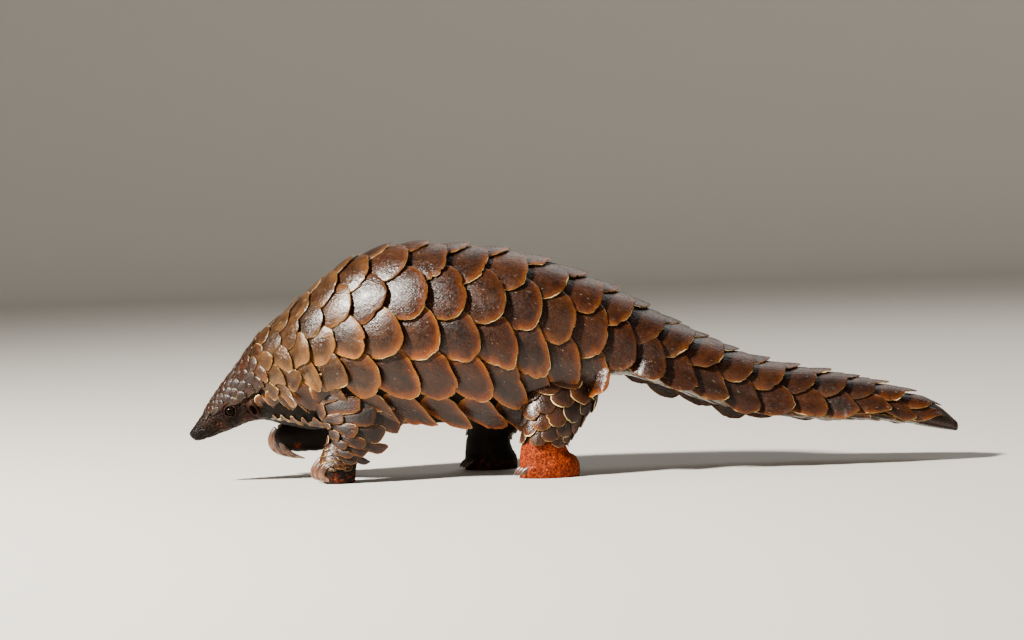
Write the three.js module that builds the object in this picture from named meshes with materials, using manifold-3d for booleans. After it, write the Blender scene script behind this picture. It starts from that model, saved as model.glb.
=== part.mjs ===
// A Temminck's ground pangolin at life size, walking: head low, back arched, tail held clear of the
// ground, right forefoot lifted. Millimetres, +Z up, head towards -X, its left side towards -Y,
// soles on z = 0.
import * as THREE from "three";
import { mergeVertices } from "three/addons/utils/BufferGeometryUtils.js";
import Module from "manifold-3d";

const wasm = await Module();
wasm.setup();

// Body line: sections of the trunk from the nose to the end of the tail, over the scales.
// Each holds the dorsal point (x, z), the belly point (x, z) and the half width.
const BODY_LINE = [
  [-461, 61, -454, 50, 7],
  [-456, 69, -441, 53, 11],
  [-447, 82, -425, 58, 16],
  [-433, 103, -405, 65, 23],
  [-417, 124, -385, 72, 28],
  [-400, 145, -368, 73, 34],
  [-377, 176, -353, 68, 46],
  [-347, 201, -332, 63, 60],
  [-308, 234, -307, 57, 74],
  [-259, 267, -270, 56, 87],
  [-201, 282, -219, 56, 96],
  [-141, 280, -164, 56, 100],
  [-81, 272, -109, 58, 99],
  [-27, 258, -63, 66, 94],
  [18, 240, -24, 80, 88],
  [61, 218, 17, 94, 83],
  [99, 195, 58, 98, 79],
  [144, 169, 105, 84, 76],
  [185, 149, 152, 66, 70],
  [230, 130, 202, 52, 64],
  [274, 119, 254, 44, 59],
  [322, 109, 308, 40, 54],
  [370, 97, 359, 40, 47],
  [411, 82, 404, 37, 37],
  [440, 65, 437, 34, 26],
  [459, 46, 457, 33, 9],
];
const LAST = BODY_LINE.length - 1;
const TAIL_ROLL = THREE.MathUtils.degToRad(6);
const CUT = 0.4;
const FAR_OUT = 2400;

// How the section changes along the body, as [station, value]: where it is widest as a share of its
// height, how square it is above and below that, how far the tail rolls towards the animal's right,
// and how much more than the scales' depth the belly lies above the lowest tips.
const WIDEST_AT = [[6, 0.45], [13, 0.42], [17, 0.2], [25, 0.3]];
const UPPER_POWER = [[5, 2], [9, 2.1], [25, 2.05]];
const LOWER_POWER = [[6, 2.1], [9, 2.4], [14, 2.4], [17, 3.2], [23, 3]];
const ROLL = [[13, 0], [17, TAIL_ROLL], [25, TAIL_ROLL]];
const BELLY_INSET = [[7, 0.2], [9, 0.6], [13, 0.6], [16, 1.6], [25, 1.2]];

// The coat of scales, as [station, value]: the scales' spacing along the back, the spacing of their
// rows, the rows on each side of the back's own, at whose end the coat leaves the skin, and how
// high the scales' tips stand over it.
const SCALE_SPACING = [[5.3, 20], [6, 25], [7, 31], [8, 37], [9, 44], [10, 48], [13.5, 48],
  [15, 43], [17, 39], [25, 38]];
const ROW_SPACING = [[4.9, 8], [5.5, 11], [6.5, 19.5], [7.5, 28], [8.5, 36.5], [9.5, 44],
  [10.5, 47], [16.5, 47], [18.5, 41], [20.5, 33.5], [22.5, 23], [24.5, 8.5]];
const ROWS_A_SIDE = [[5.3, 5.6], [5.8, 6.4], [6.4, 6.3], [7.3, 5.3], [12.5, 5.2], [13.5, 4.4],
  [14.5, 3.4], [15.5, 2.5], [16.5, 2]];
const SCALE_DEPTH = [[1, 0.4], [3.4, 1.6], [5, 2.4], [6, 3.4], [7.5, 5.5], [9, 8], [13, 8.5],
  [17, 8], [22, 6.5], [25, 4]];
const FIRST_SCALES = 5.3;
const MOST_ROWS = 6;

// Where the trunk is parted, as stations along the body line.
const TRUNK_NODES = [
  ["head", 0, 5.75],
  ["neck", 5.75, 7.6],
  ["torso_front", 7.6, 11],
  ["torso_rear", 11, 15.2],
  ["tail_1", 15.2, 17.6],
  ["tail_2", 17.6, 19.8],
  ["tail_3", 19.8, 22],
  ["tail_4", 22, LAST],
];

// Colours, roughness and metalness of the surfaces.
const scaleHorn = { color: 0x5a4632, roughness: 0.42, metalness: 0 };
const darkSkin = { color: 0x2b211b, roughness: 0.7, metalness: 0 };
const clawHorn = { color: 0xb89a80, roughness: 0.4, metalness: 0 };
const eyeBlack = { color: 0x0b0908, roughness: 0.08, metalness: 0 };

const vec = (x, y, z) => new THREE.Vector3(x, y, z);
const curve = (points) => new THREE.CatmullRomCurve3(points, false, "centripetal");
const dorsalLine = curve(BODY_LINE.map(([x, z]) => vec(x, 0, z)));
const bellyLine = curve(BODY_LINE.map((s) => vec(s[2], 0, s[3])));
const widthLine = curve(BODY_LINE.map((s, i) => vec(i * 40, s[4], 0)));

// A value that changes along the body line, from [station, value] pairs.
function along(pairs, u) {
  const next = pairs.findIndex(([station]) => station >= u);
  if (next === 0) return pairs[0][1];
  if (next < 0) return pairs[pairs.length - 1][1];
  const [u0, v0] = pairs[next - 1];
  const [u1, v1] = pairs[next];
  return v0 + ((v1 - v0) * THREE.MathUtils.smoothstep(u, u0, u1));
}

// The trunk's section at a station: its middle, its two directions and its half axes, over the
// scales or, with an inset, at the skin below them.
function section(u, inset = 0) {
  const t = THREE.MathUtils.clamp(u / LAST, 0, 1);
  const top = dorsalLine.getPoint(t);
  const bottom = bellyLine.getPoint(t);
  const plane = vec(0, 1, 0).cross(top.clone().sub(bottom)).normalize();
  const up = top.clone().sub(bottom).normalize();
  const height = top.distanceTo(bottom) - inset * (1 + along(BELLY_INSET, u));
  const half = Math.max(widthLine.getPoint(t).y - inset, 2);
  const widest = along(WIDEST_AT, u);
  const middle = bottom.addScaledVector(up, inset * along(BELLY_INSET, u) + height * widest);
  const roll = -along(ROLL, u);
  const side = vec(0, -1, 0).applyAxisAngle(plane, roll);
  up.applyAxisAngle(plane, roll);
  return { middle, plane, side, up, half, above: height * (1 - widest), below: height * widest,
    upper: along(UPPER_POWER, u), lower: along(LOWER_POWER, u) };
}

// A point of a section's outline. The angle runs from 0 on the back to pi on the belly, and from
// 0 to -pi on the animal's right.
function outlinePoint(s, angle) {
  const a = Math.abs(angle);
  const power = a < Math.PI / 2 ? s.upper : s.lower;
  const across = s.half * Math.pow(Math.sin(a), 2 / power);
  const rise = Math.pow(Math.abs(Math.cos(a)), 2 / power) * (a < Math.PI / 2 ? s.above : -s.below);
  return s.middle.clone().addScaledVector(s.side, Math.sign(angle) * across)
    .addScaledVector(s.up, rise);
}

// A closed solid through rings of equal point count, closed by a fan at each end.
function loft(rings) {
  const count = rings[0].length;
  const points = rings.flat();
  const faces = [];
  const tail = (rings.length - 1) * count;
  for (let r = 0; r + 1 < rings.length; r++) {
    for (let i = 0; i < count; i++) {
      const a = r * count + i;
      const b = r * count + (i + 1) % count;
      faces.push(a, b, a + count, b, b + count, a + count);
    }
  }
  for (const [ring, start] of [[rings[0], 0], [rings[rings.length - 1], tail]]) {
    const centre = ring.reduce((sum, p) => sum.add(p), vec(0, 0, 0)).divideScalar(count);
    const hub = points.push(centre) - 1;
    for (let i = 0; i < count; i++) {
      const pair = [start + i, start + (i + 1) % count];
      faces.push(...(start === 0 ? [pair[1], pair[0], hub] : [pair[0], pair[1], hub]));
    }
  }
  const geometry = new THREE.BufferGeometry().setFromPoints(points);
  geometry.setIndex(faces);
  return solid(geometry);
}

// A closed geometry as a solid with its faces out.
function solid(geometry) {
  for (const name of ["normal", "uv"]) geometry.deleteAttribute(name);
  const merged = mergeVertices(geometry, 1e-4);
  const triVerts = new Uint32Array(merged.index.array);
  const made = () => new wasm.Manifold(
    new wasm.Mesh({ numProp: 3, vertProperties: merged.attributes.position.array, triVerts }));
  if (made().volume() > 0) return made();
  for (let i = 0; i < triVerts.length; i += 3) {
    [triVerts[i + 1], triVerts[i + 2]] = [triVerts[i + 2], triVerts[i + 1]];
  }
  return made();
}

const largest = (whole) => whole.decompose().reduce((a, b) => (b.volume() > a.volume() ? b : a));
const union = (solids) => solids.reduce((a, b) => a.add(b));

// A ball or egg, by its centre, three radii and number of sides.
function ball(centre, radii, sides) {
  const geometry = new THREE.SphereGeometry(1, sides, Math.round(sides * 0.7));
  geometry.scale(...radii).translate(...centre.toArray());
  return solid(geometry);
}

// The half of space on one side of a plane, as a large box with a face on the plane.
function halfSpace(point, outward) {
  const geometry = new THREE.BoxGeometry(FAR_OUT, FAR_OUT, FAR_OUT).translate(0, 0, FAR_OUT / 2);
  const turn = new THREE.Quaternion().setFromUnitVectors(vec(0, 0, 1), outward);
  geometry.applyQuaternion(turn).translate(point.x, point.y, point.z);
  return solid(geometry);
}

// The part of a solid between two stations of the trunk, less half a cut at each.
function between(whole, from, to) {
  let piece = whole;
  for (const [u, sign] of [[from, 1], [to, -1]]) {
    if (u <= 0 || u >= LAST) continue;
    const { middle, plane } = section(u);
    const outward = plane.multiplyScalar(sign);
    piece = piece.intersect(halfSpace(middle.addScaledVector(outward, CUT / 2), outward));
  }
  return piece;
}

// A limb or claw as a tapering tube with an oval section along a bent line. Each stop holds its
// centre, its radius along X and its radius across.
const STOP_SPACING = 30;
function limbLine(stops) {
  const centres = curve(stops.map(([centre]) => vec(...centre)));
  const radii = curve(stops.map(([, long, wide], i) => vec(i * STOP_SPACING, long, wide)));
  return { centres, radii };
}

// A place on a limb, from its share of the length and its angle round from the front. Past either
// end it runs straight on.
function limbPlace({ centres, radii }, share, angle, grow = 0) {
  const t = THREE.MathUtils.clamp(share, 0, 1);
  const forward = centres.getTangent(t);
  const centre = centres.getPoint(t).addScaledVector(forward, (share - t) * centres.getLength());
  const across = vec(0, 1, 0).addScaledVector(forward, -forward.y).normalize();
  const fore = across.clone().cross(forward).normalize();
  const { y: long, z: wide } = radii.getPoint(t);
  const [c, s] = [Math.cos(angle), Math.sin(angle)];
  const point = centre.addScaledVector(fore, c * (long + grow))
    .addScaledVector(across, s * (wide + grow));
  const normal = fore.clone().multiplyScalar(c * wide).addScaledVector(across, s * long).normalize();
  const round = fore.multiplyScalar(-s * long).addScaledVector(across, c * wide);
  return { point, normal, round };
}

function limb(stops, sides, grow = 0) {
  const line = limbLine(stops);
  const last = stops.length - 1;
  const rings = stops.map((_, k) => {
    const overEnd = (k === 0 ? -grow : k === last ? grow : 0) / line.centres.getLength();
    const ring = [];
    for (let i = 0; i < sides; i++) {
      ring.push(limbPlace(line, k / last + overEnd, (i / sides) * Math.PI * 2, grow).point);
    }
    return ring;
  });
  return loft(rings);
}

// The trunk's skin, below the scales, with an extra ring near each end.
const TRUNK_SIDES = 20;
const skinSection = (u) => section(u, along(SCALE_DEPTH, u));
function trunkSkin() {
  const rings = [];
  for (let u = 0; u <= LAST; u += u < 1 || u > LAST - 1 ? 0.5 : 1) {
    const s = skinSection(u);
    const ring = [];
    for (let i = 0; i < TRUNK_SIDES; i++) {
      ring.push(outlinePoint(s, Math.PI - ((i + 0.5) / TRUNK_SIDES) * Math.PI * 2));
    }
    rings.push(ring);
  }
  return loft(rings);
}

// The skin as distances for the coat: at each small step of the body line, the points from the back
// round both sides, the distance to each from the back and the distance at which the coat's edge
// leaves the skin. The count is the number of scales along the back up to there.
const COAT_STEP = 0.05;
const COAT_ANGLE = Math.PI / 60;
const coatSections = [];
let scaleCount = 0;
for (let u = FIRST_SCALES; u <= LAST; u += COAT_STEP) {
  const s = skinSection(u);
  const last = coatSections[coatSections.length - 1];
  if (last) scaleCount += last.back.distanceTo(outlinePoint(s, 0)) / along(SCALE_SPACING, u);
  const sides = [1, -1].map((sign) => {
    const points = [outlinePoint(s, 0)];
    const reach = [0];
    for (let angle = COAT_ANGLE; angle < Math.PI; angle += COAT_ANGLE) {
      const point = outlinePoint(s, sign * angle);
      reach.push(reach[reach.length - 1] + point.distanceTo(points[points.length - 1]));
      points.push(point);
    }
    return { points, reach };
  });
  const row = along(ROW_SPACING, u);
  const edge = row * along(ROWS_A_SIDE, u);
  const back = sides[0].points[0];
  coatSections.push({ u, plane: s.plane, back, sides, edge, row, count: scaleCount });
}
const lastSection = coatSections[coatSections.length - 1];

// A point on one section's skin at a signed distance from the back. Past the coat's edge it runs
// straight on, a little outward.
const EDGE_FLARE = 0.22;
const EDGE_REACH = 2;
function skinPoint(sectionAt, distance) {
  const { points, reach } = sectionAt.sides[distance >= 0 ? 0 : 1];
  const reached = Math.min(Math.abs(distance), sectionAt.edge);
  let i = 1;
  while (reach[i] < reached && i < reach.length - 1) i++;
  const share = (reached - reach[i - 1]) / (reach[i] - reach[i - 1]);
  const point = points[i - 1].clone().lerp(points[i], share);
  const tangent = points[i].clone().sub(points[i - 1]).normalize();
  const normal = sectionAt.plane.clone().cross(tangent).multiplyScalar(distance >= 0 ? -1 : 1);
  const over = Math.abs(distance) - reached;
  if (over > 0) {
    point.addScaledVector(tangent, over * (1 - EDGE_FLARE));
    point.addScaledVector(normal, over * EDGE_FLARE);
  }
  return { point, normal, free: Math.abs(distance) > sectionAt.edge - EDGE_REACH };
}

// The coat's map: a place counted in scales along the back and rows round the body, to a point of
// the skin, the way out of it and whether it lies past the edge.
function coatMap(count, row) {
  const over = Math.max(count - lastSection.count, 0);
  let i = 1;
  while (coatSections[i].count < count && i < coatSections.length - 1) i++;
  const [a, b] = [coatSections[i - 1], coatSections[i]];
  const share = THREE.MathUtils.clamp((count - a.count) / (b.count - a.count), 0, 1);
  const rowSpacing = THREE.MathUtils.lerp(a.row, b.row, share);
  const pa = skinPoint(a, row * rowSpacing);
  const pb = skinPoint(b, row * rowSpacing);
  const point = pa.point.lerp(pb.point, share);
  point.addScaledVector(b.back.clone().sub(a.back).normalize(), over * along(SCALE_SPACING, LAST));
  return { point, normal: pa.normal.lerp(pb.normal, share).normalize(), free: pa.free };
}

// A seeded draw, so that the scales vary as real ones do and come out the same each time.
let seed = 20261;
function draw(spread) {
  seed = (seed * 16807) % 2147483647;
  return (seed / 2147483647 - 0.5) * 2 * spread;
}

// The corners of a scale from its root, in scale spacings and row spacings: the two ends of its
// blunt tip, where its neighbours' edges run under it, its rounded shoulders and, on the coat's
// lowest row, its outer corner. The heart is the middle of what shows of it.
const CORNERS = {
  knee: [1.5, 0.22],
  shoulder: [1.3, 0.56],
  outer: [1.06, 0.84],
  heart: [1.02, 0],
};
const CORNER_SPREAD = [0.045, 0.03];
const ROOT_SUNK = 0.5;
const ROOT_HEIGHT = 0.2;
const SIDE_DROP = 0.2;
const DEPTH_SPREAD = 0.1;
const FREE_THICKNESS = 2.4;

// A coat of overlapping scales as one closed shell on a coat map. Each scale shows from the edges
// of the scales in front of it to its own rear edge, which stands over the next ones as a step.
// The row of the map's edge hangs free. The sites are the [count, row] of the scales that are made,
// and exists tells whether a place inside the coat has one.
function scaleShell(map, sites, exists, depthAt) {
  const corners = new Map();
  const name = (kind, side, count, row) => `${kind} ${side} ${count} ${row}`;
  function corner(kind, side, count, row) {
    const key = name(kind, side, count, row);
    if (!corners.has(key)) {
      const [a, b] = CORNERS[kind];
      const at = [count + a + draw(CORNER_SPREAD[0]), row + side * b + draw(CORNER_SPREAD[1])];
      corners.set(key, { key, at, ...map(...at), tops: [] });
    }
    return corners.get(key);
  }
  const cells = sites.map(([count, row]) => {
    const at = (kind, side, c = count, r = row) => corner(kind, side, c, r);
    const flank = (side) => (exists(count - 0.5, row + side)
      ? [at("knee", -side, count - 0.5, row + side), at("shoulder", -side, count - 0.5, row + side)]
      : [at("outer", side), at("shoulder", side, count - 1)]);
    const ring = [at("knee", 1), at("shoulder", 1), ...flank(1), at("knee", 1, count - 1),
      at("knee", -1, count - 1), ...flank(-1).reverse(), at("shoulder", -1), at("knee", -1)];
    const depth = depthAt(count, row) * (1 + draw(DEPTH_SPREAD));
    const heart = at("heart", 0);
    const points = new Map();
    for (const c of [...ring, heart]) {
      const [a, b] = [c.at[0] - count, c.at[1] - row];
      const slope = ROOT_HEIGHT + ((1 - ROOT_HEIGHT) * a) / CORNERS.knee[0];
      const top = { height: depth * slope * (1 - SIDE_DROP * b * b) };
      points.set(c, top);
      c.tops.push(top);
      c.sunk = depth * ROOT_SUNK;
    }
    return { ring, heart, points };
  });

  const vertices = [];
  const faces = [];
  const number = (c, top) => {
    if (top.index === undefined) {
      top.index = vertices.push(c.point.clone().addScaledVector(c.normal, top.height)) - 1;
    }
    return top.index;
  };
  for (const c of corners.values()) {
    if (!c.tops.length) continue;
    const lowest = Math.min(...c.tops.map((top) => top.height));
    c.floor = { height: c.free ? lowest - FREE_THICKNESS : -c.sunk };
    c.tops.push(c.floor);
    c.tops.sort((p, q) => q.height - p.height);
  }
  // The wall along one edge between two levels, through all that meets it at its ends.
  const levels = (c, from, to) => {
    const [i, j] = [c.tops.indexOf(from), c.tops.indexOf(to)];
    const stack = c.tops.slice(Math.min(i, j), Math.max(i, j) + 1);
    return (i < j ? stack : stack.reverse()).map((top) => number(c, top));
  };
  function wall(c1, c2, from1, from2, to1, to2) {
    const [left, right] = [levels(c1, from1, to1), levels(c2, from2, to2)];
    let [i, j] = [0, 0];
    while (i < left.length - 1 || j < right.length - 1) {
      if (j >= right.length - 1 || (i < left.length - 1 && i <= j)) {
        faces.push(right[j], left[i], left[i + 1]);
        i++;
      } else {
        faces.push(right[j], left[i], right[j + 1]);
        j++;
      }
    }
  }
  const edges = new Map();
  for (const cell of cells) {
    cell.ring.forEach((c, k) => {
      edges.set(`${c.key}|${cell.ring[(k + 1) % cell.ring.length].key}`, cell);
    });
  }
  for (const cell of cells) {
    cell.ring.forEach((c1, k) => {
      const c2 = cell.ring[(k + 1) % cell.ring.length];
      const { heart, points } = cell;
      const [top1, top2] = [points.get(c1), points.get(c2)];
      faces.push(number(heart, points.get(heart)), number(c1, top1), number(c2, top2));
      faces.push(number(heart, heart.floor), number(c2, c2.floor), number(c1, c1.floor));
      const other = edges.get(`${c2.key}|${c1.key}`);
      if (!other) {
        wall(c1, c2, top1, top2, c1.floor, c2.floor);
      } else if (cells.indexOf(cell) < cells.indexOf(other)) {
        wall(c1, c2, top1, top2, other.points.get(c1), other.points.get(c2));
      }
    });
  }
  const geometry = new THREE.BufferGeometry().setFromPoints(vertices);
  geometry.setIndex(faces);
  return solid(geometry);
}

// All the scales of the trunk. Every other row is set half a scale further back, and the lowest
// row on each side lies along the coat's edge, with its middle at most a little past it.
const LAST_ROW_OVER = 0.2;
const SCALE_LENGTH = 1.55;
function trunkCoat() {
  const sectionAt = (count) => coatSections.find((s) => s.count >= count) ?? lastSection;
  const exists = (count, row) => {
    const { row: spacing, edge } = sectionAt(count + 0.5);
    return Math.abs(row) * spacing <= edge + spacing * LAST_ROW_OVER;
  };
  const sites = [];
  for (let row = -MOST_ROWS; row <= MOST_ROWS; row++) {
    for (let count = Math.abs(row % 2) / 2; count + SCALE_LENGTH < lastSection.count; count++) {
      if (exists(count, row)) sites.push([count, row]);
    }
  }
  return scaleShell(coatMap, sites, exists, (count) => along(SCALE_DEPTH, sectionAt(count + 1).u));
}

// Legs: [centre, radius along X, radius across] from the root inside the trunk to the ankle. The
// lifted leg has a second length, its forearm, reaching forward from the elbow.
const LEGS = {
  foreleg_left: [
    [[[-260, -38, 118], 46, 22], [[-258, -50, 92], 52, 25], [[-254, -58, 64], 44, 24],
      [[-262, -60, 42], 33, 21], [[-272, -60, 26], 26, 18]],
  ],
  foreleg_right: [
    [[[-266, 38, 118], 46, 22], [[-274, 52, 88], 42, 24], [[-284, 58, 60], 28, 22],
      [[-288, 60, 42], 14, 13]],
    [[[-268, 59, 56], 14, 13], [[-292, 59, 54], 22, 20], [[-312, 58, 51], 21, 19],
      [[-340, 57, 49], 19, 18]],
  ],
  hindleg_left: [
    [[[-14, -36, 128], 50, 24], [[-20, -50, 100], 50, 27], [[-28, -62, 70], 37, 26],
      [[-36, -66, 44], 27, 24], [[-38, -66, 26], 26, 23]],
  ],
  hindleg_right: [
    [[[-72, 36, 126], 50, 24], [[-82, 50, 98], 48, 27], [[-94, 62, 70], 37, 26],
      [[-102, 66, 44], 27, 24], [[-104, 66, 26], 26, 23]],
  ],
};

// Feet, in the same form. Their undersides are cut flat at the floor, apart from the lifted one's.
const FEET = {
  forefoot_left: [[[-270, -60, 40], 27, 18], [[-276, -60, 24], 25, 19], [[-278, -60, 11], 22, 19],
    [[-278, -60, -6], 17, 15]],
  forefoot_right: [[[-318, 58, 49], 19, 17], [[-340, 57, 49], 20, 20], [[-356, 56, 46], 14, 17],
    [[-363, 56, 44], 6, 9]],
  hindfoot_left: [[[-38, -66, 36], 26, 23], [[-36, -66, 18], 32, 26], [[-32, -66, 6], 38, 28],
    [[-31, -66, -6], 34, 24]],
  hindfoot_right: [[[-104, 66, 36], 26, 23], [[-103, 66, 18], 30, 26], [[-101, 66, 6], 34, 28],
    [[-100, 66, -6], 31, 24]],
};
const LIMB_SIDES = 11;

// A leg's coat. On a foreleg the scales lie in rows down the leg and sweep round its outer side to
// the back, where their ends stand free. On a hind leg they point down it, in rows round it.
// Places along a leg are shares of its length, and angles run round it from the front.
const LEG_SCALE_DEPTH = 4.5;
const SWEEP = {
  start: 0, step: 0.85, shorter: 0.07, free: 2.3, scales: 3, firstRow: 0.22, rowStep: 0.14,
};
const SWEEP_ROWS = { left: 6, right: 4 };
const THIGH = { middle: 1.75, rowAngle: 0.62, rows: 2, start: 0.12, spacing: 0.2, scales: 3 };
function forelegCoat(stops, sign, rows) {
  const line = limbLine(stops);
  const map = (count, row) => {
    const angle = SWEEP.start + count * SWEEP.step * (1 - SWEEP.shorter * row);
    const held = Math.min(angle, SWEEP.free);
    const share = SWEEP.firstRow + row * SWEEP.rowStep;
    const { point, normal, round } = limbPlace(line, share, sign * held);
    point.addScaledVector(round, sign * (angle - held));
    return { point, normal, free: angle > SWEEP.free };
  };
  const sites = [];
  for (let row = 0; row < rows; row++) {
    for (let count = (row % 2) / 2; count < SWEEP.scales; count++) sites.push([count, row]);
  }
  return scaleShell(map, sites, (count, row) => row >= 0 && row < rows, () => LEG_SCALE_DEPTH);
}
function hindlegCoat(stops, sign) {
  const line = limbLine(stops);
  const map = (count, row) => {
    const angle = THIGH.middle + row * THIGH.rowAngle;
    return { ...limbPlace(line, THIGH.start + count * THIGH.spacing, sign * angle), free: false };
  };
  const sites = [];
  for (let row = -THIGH.rows; row <= THIGH.rows; row++) {
    for (let count = Math.abs(row % 2) / 2; count < THIGH.scales; count++) sites.push([count, row]);
  }
  return scaleShell(map, sites, (count, row) => Math.abs(row) <= THIGH.rows, () => LEG_SCALE_DEPTH);
}

// One whole limb with its coat and its foot, before it is parted from the trunk.
function wholeLimb(name) {
  const [kind, side] = name.split("_");
  const sign = side === "left" ? -1 : 1;
  const lengths = LEGS[name];
  const foot = limb(FEET[name.replace("leg", "foot")], LIMB_SIDES);
  const aboveFloor = halfSpace(vec(0, 0, 0), vec(0, 0, 1));
  const pieces = [...lengths.map((stops) => limb(stops, LIMB_SIDES)), foot.intersect(aboveFloor)];
  if (kind === "hindleg") pieces.push(hindlegCoat(lengths[0], sign));
  else pieces.push(forelegCoat(lengths[0], sign, SWEEP_ROWS[side]));
  return union(pieces);
}

// The block that parts a leg from the trunk: its range along X, its inner side, the height of its
// sloping top there, and the height or place along X at which the foot is cut off.
const LEG_BLOCKS = {
  foreleg_left: { x: [-334, -184], inner: 24, top: 60, ankle: ["z", 32] },
  foreleg_right: { x: [-420, -204], inner: 33, top: 58, ankle: ["x", -330] },
  hindleg_left: { x: [-84, 40], inner: 24, top: 66, ankle: ["z", 34] },
  hindleg_right: { x: [-146, -28], inner: 24, top: 60, ankle: ["z", 34] },
};
const TOP_SLOPE = 0.62;
const BLOCK_DEPTH = 260;
function legBlock({ x, inner, top }, sign, grow) {
  const length = x[1] - x[0] + 2 * grow;
  const geometry = new THREE.BoxGeometry(length, BLOCK_DEPTH, BLOCK_DEPTH);
  geometry.translate((x[0] + x[1]) / 2, sign * (inner - grow + BLOCK_DEPTH / 2), 0);
  const down = vec(0, sign * TOP_SLOPE, -1).normalize();
  const edge = vec(0, sign * inner, top).addScaledVector(down, -grow);
  return solid(geometry).intersect(halfSpace(edge, down));
}

// A claw or nail: a horn that bends and tapers, from its root past the bend to its point, narrower
// than it is high.
const CLAW_TAPER = [[0, 1], [0.3, 0.96], [0.6, 0.8], [0.85, 0.48], [1, 0.14]];
const CLAW_WIDTH = 0.8;
const CLAW_SIDES = 6;
function claw(root, bend, tip, radius, grow = 0) {
  const arc = new THREE.QuadraticBezierCurve3(vec(...root), vec(...bend), vec(...tip));
  const stops = CLAW_TAPER.map(([t, size]) => (
    [arc.getPoint(t).toArray(), radius * size, radius * size * CLAW_WIDTH]));
  return limb(stops, CLAW_SIDES, grow);
}

// The claws' places: root, bend and tip as (x, z) with the foot's middle line and the claws' places
// beside it. The foreclaws fan out. The hind nails lie further back the further they are from that
// line.
const FORECLAWS = {
  left: { middle: -60, spread: 1.1, fan: -0.5, root: [-290, 30], bend: [-324, 4], tip: [-282, 4] },
  right: { middle: 56, spread: 1.1, fan: -0.7, root: [-356, 54], bend: [-374, 32], tip: [-334, 22] },
};
const FORECLAW_RADIUS = 5.4;
const FORECLAW_PLACES = [[-11, 0.82], [0, 1], [11, 0.86]];
const HINDNAILS = {
  left: { middle: -66, root: [-62, 13], bend: [-71, 11], tip: [-77, 3] },
  right: { middle: 66, root: [-128, 13], bend: [-136, 11], tip: [-142, 3] },
};
const HINDNAIL_RADIUS = 4.2;
const HINDNAIL_PLACES = [-19, -9.5, 0, 9.5, 19];
const HINDNAIL_SETBACK = 0.35;
const CLAWS = {};
for (const side of ["left", "right"]) {
  const fore = FORECLAWS[side];
  FORECLAW_PLACES.forEach(([offset, size], i) => {
    const y = fore.middle + offset * fore.spread;
    const over = offset * fore.fan;
    const line = [fore.root, fore.bend, fore.tip].map(([x, z]) => [x + over, y, z]);
    CLAWS[`foreclaw_${side}_${i + 1}`] = [...line, FORECLAW_RADIUS * size];
  });
  const hind = HINDNAILS[side];
  HINDNAIL_PLACES.forEach((offset, i) => {
    const back = Math.abs(offset) * HINDNAIL_SETBACK;
    const line = [hind.root, hind.bend, hind.tip].map(([x, z]) => [x + back, hind.middle + offset, z]);
    CLAWS[`hindnail_${side}_${i + 1}`] = [...line, HINDNAIL_RADIUS];
  });
}

// Assembly of the nodes.
const group = new THREE.Group();
function addNode(name, made, looks) {
  const { vertProperties, triVerts } = largest(made).getMesh();
  const geometry = new THREE.BufferGeometry();
  geometry.setAttribute("position", new THREE.BufferAttribute(vertProperties, 3));
  geometry.setIndex(new THREE.BufferAttribute(triVerts, 1));
  const mesh = new THREE.Mesh(geometry, new THREE.MeshStandardMaterial(looks));
  mesh.name = name;
  group.add(mesh);
}

// Head features, by station and angle from the back. Each side's eye sits in a socket behind a ring
// of lid, an ear is a C of flesh round its pit, the mouth is a thin line and the nostrils are small
// pits in the ball of the nose. On the head a sign of 1 is the animal's left.
const NOSE = { x: -454, z: 60, radius: 7.5 };
const NOSTRIL = { x: -459, y: 3.4, z: 59, radius: 1.7 };
const MOUTH = { from: 0.25, to: 2.3, angles: [150, 122], tube: 0.8, steps: 3 };
const EYE = { station: 3.42, angle: 92, radius: 5.2, sunk: 2.2, lid: 5.9, lidTube: 1.5 };
const EAR = { station: 4.72, angle: 116, tall: 8, wide: 5, tube: 2.3, pit: [3.4, 4, 5.6] };
const EAR_TURN = { from: -150, to: 150, step: 50, endTaper: 0.55, out: 0.6, deeper: 1.2 };
const headPoint = (station, angle, sign) => (
  outlinePoint(skinSection(station), sign * THREE.MathUtils.degToRad(angle)));
function headNormal(station, angle, sign) {
  const at = headPoint(station, angle, sign);
  const a = headPoint(station + 0.1, angle, sign).sub(at);
  const b = headPoint(station, angle + 2, sign).sub(at);
  return a.cross(b).normalize().multiplyScalar(-sign);
}
function earRim(sign, grow = 0) {
  const at = headPoint(EAR.station, EAR.angle, sign);
  const stops = [];
  for (let turn = EAR_TURN.from; turn <= EAR_TURN.to; turn += EAR_TURN.step) {
    const a = THREE.MathUtils.degToRad(turn);
    const tube = EAR.tube * (Math.abs(turn) === EAR_TURN.to ? EAR_TURN.endTaper : 1);
    const fromMiddle = vec(Math.cos(a) * EAR.wide, -sign * EAR_TURN.out, Math.sin(a) * EAR.tall);
    stops.push([at.clone().add(fromMiddle).toArray(), tube, tube * EAR_TURN.deeper]);
  }
  return limb(stops, CLAW_SIDES, grow);
}
function mouthLine(sign) {
  const stops = [];
  for (let k = 0; k <= MOUTH.steps; k++) {
    const u = THREE.MathUtils.lerp(MOUTH.from, MOUTH.to, k / MOUTH.steps);
    const angle = THREE.MathUtils.lerp(...MOUTH.angles, k / MOUTH.steps);
    stops.push([headPoint(u, angle, sign).toArray(), MOUTH.tube, MOUTH.tube]);
  }
  return limb(stops, 4);
}
function eyelid(sign) {
  const lid = new THREE.TorusGeometry(EYE.lid, EYE.lidTube, 4, 10);
  const out = headNormal(EYE.station, EYE.angle, sign);
  lid.applyQuaternion(new THREE.Quaternion().setFromUnitVectors(vec(0, 0, 1), out));
  lid.translate(...headPoint(EYE.station, EYE.angle, sign).toArray());
  return solid(lid);
}
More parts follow.
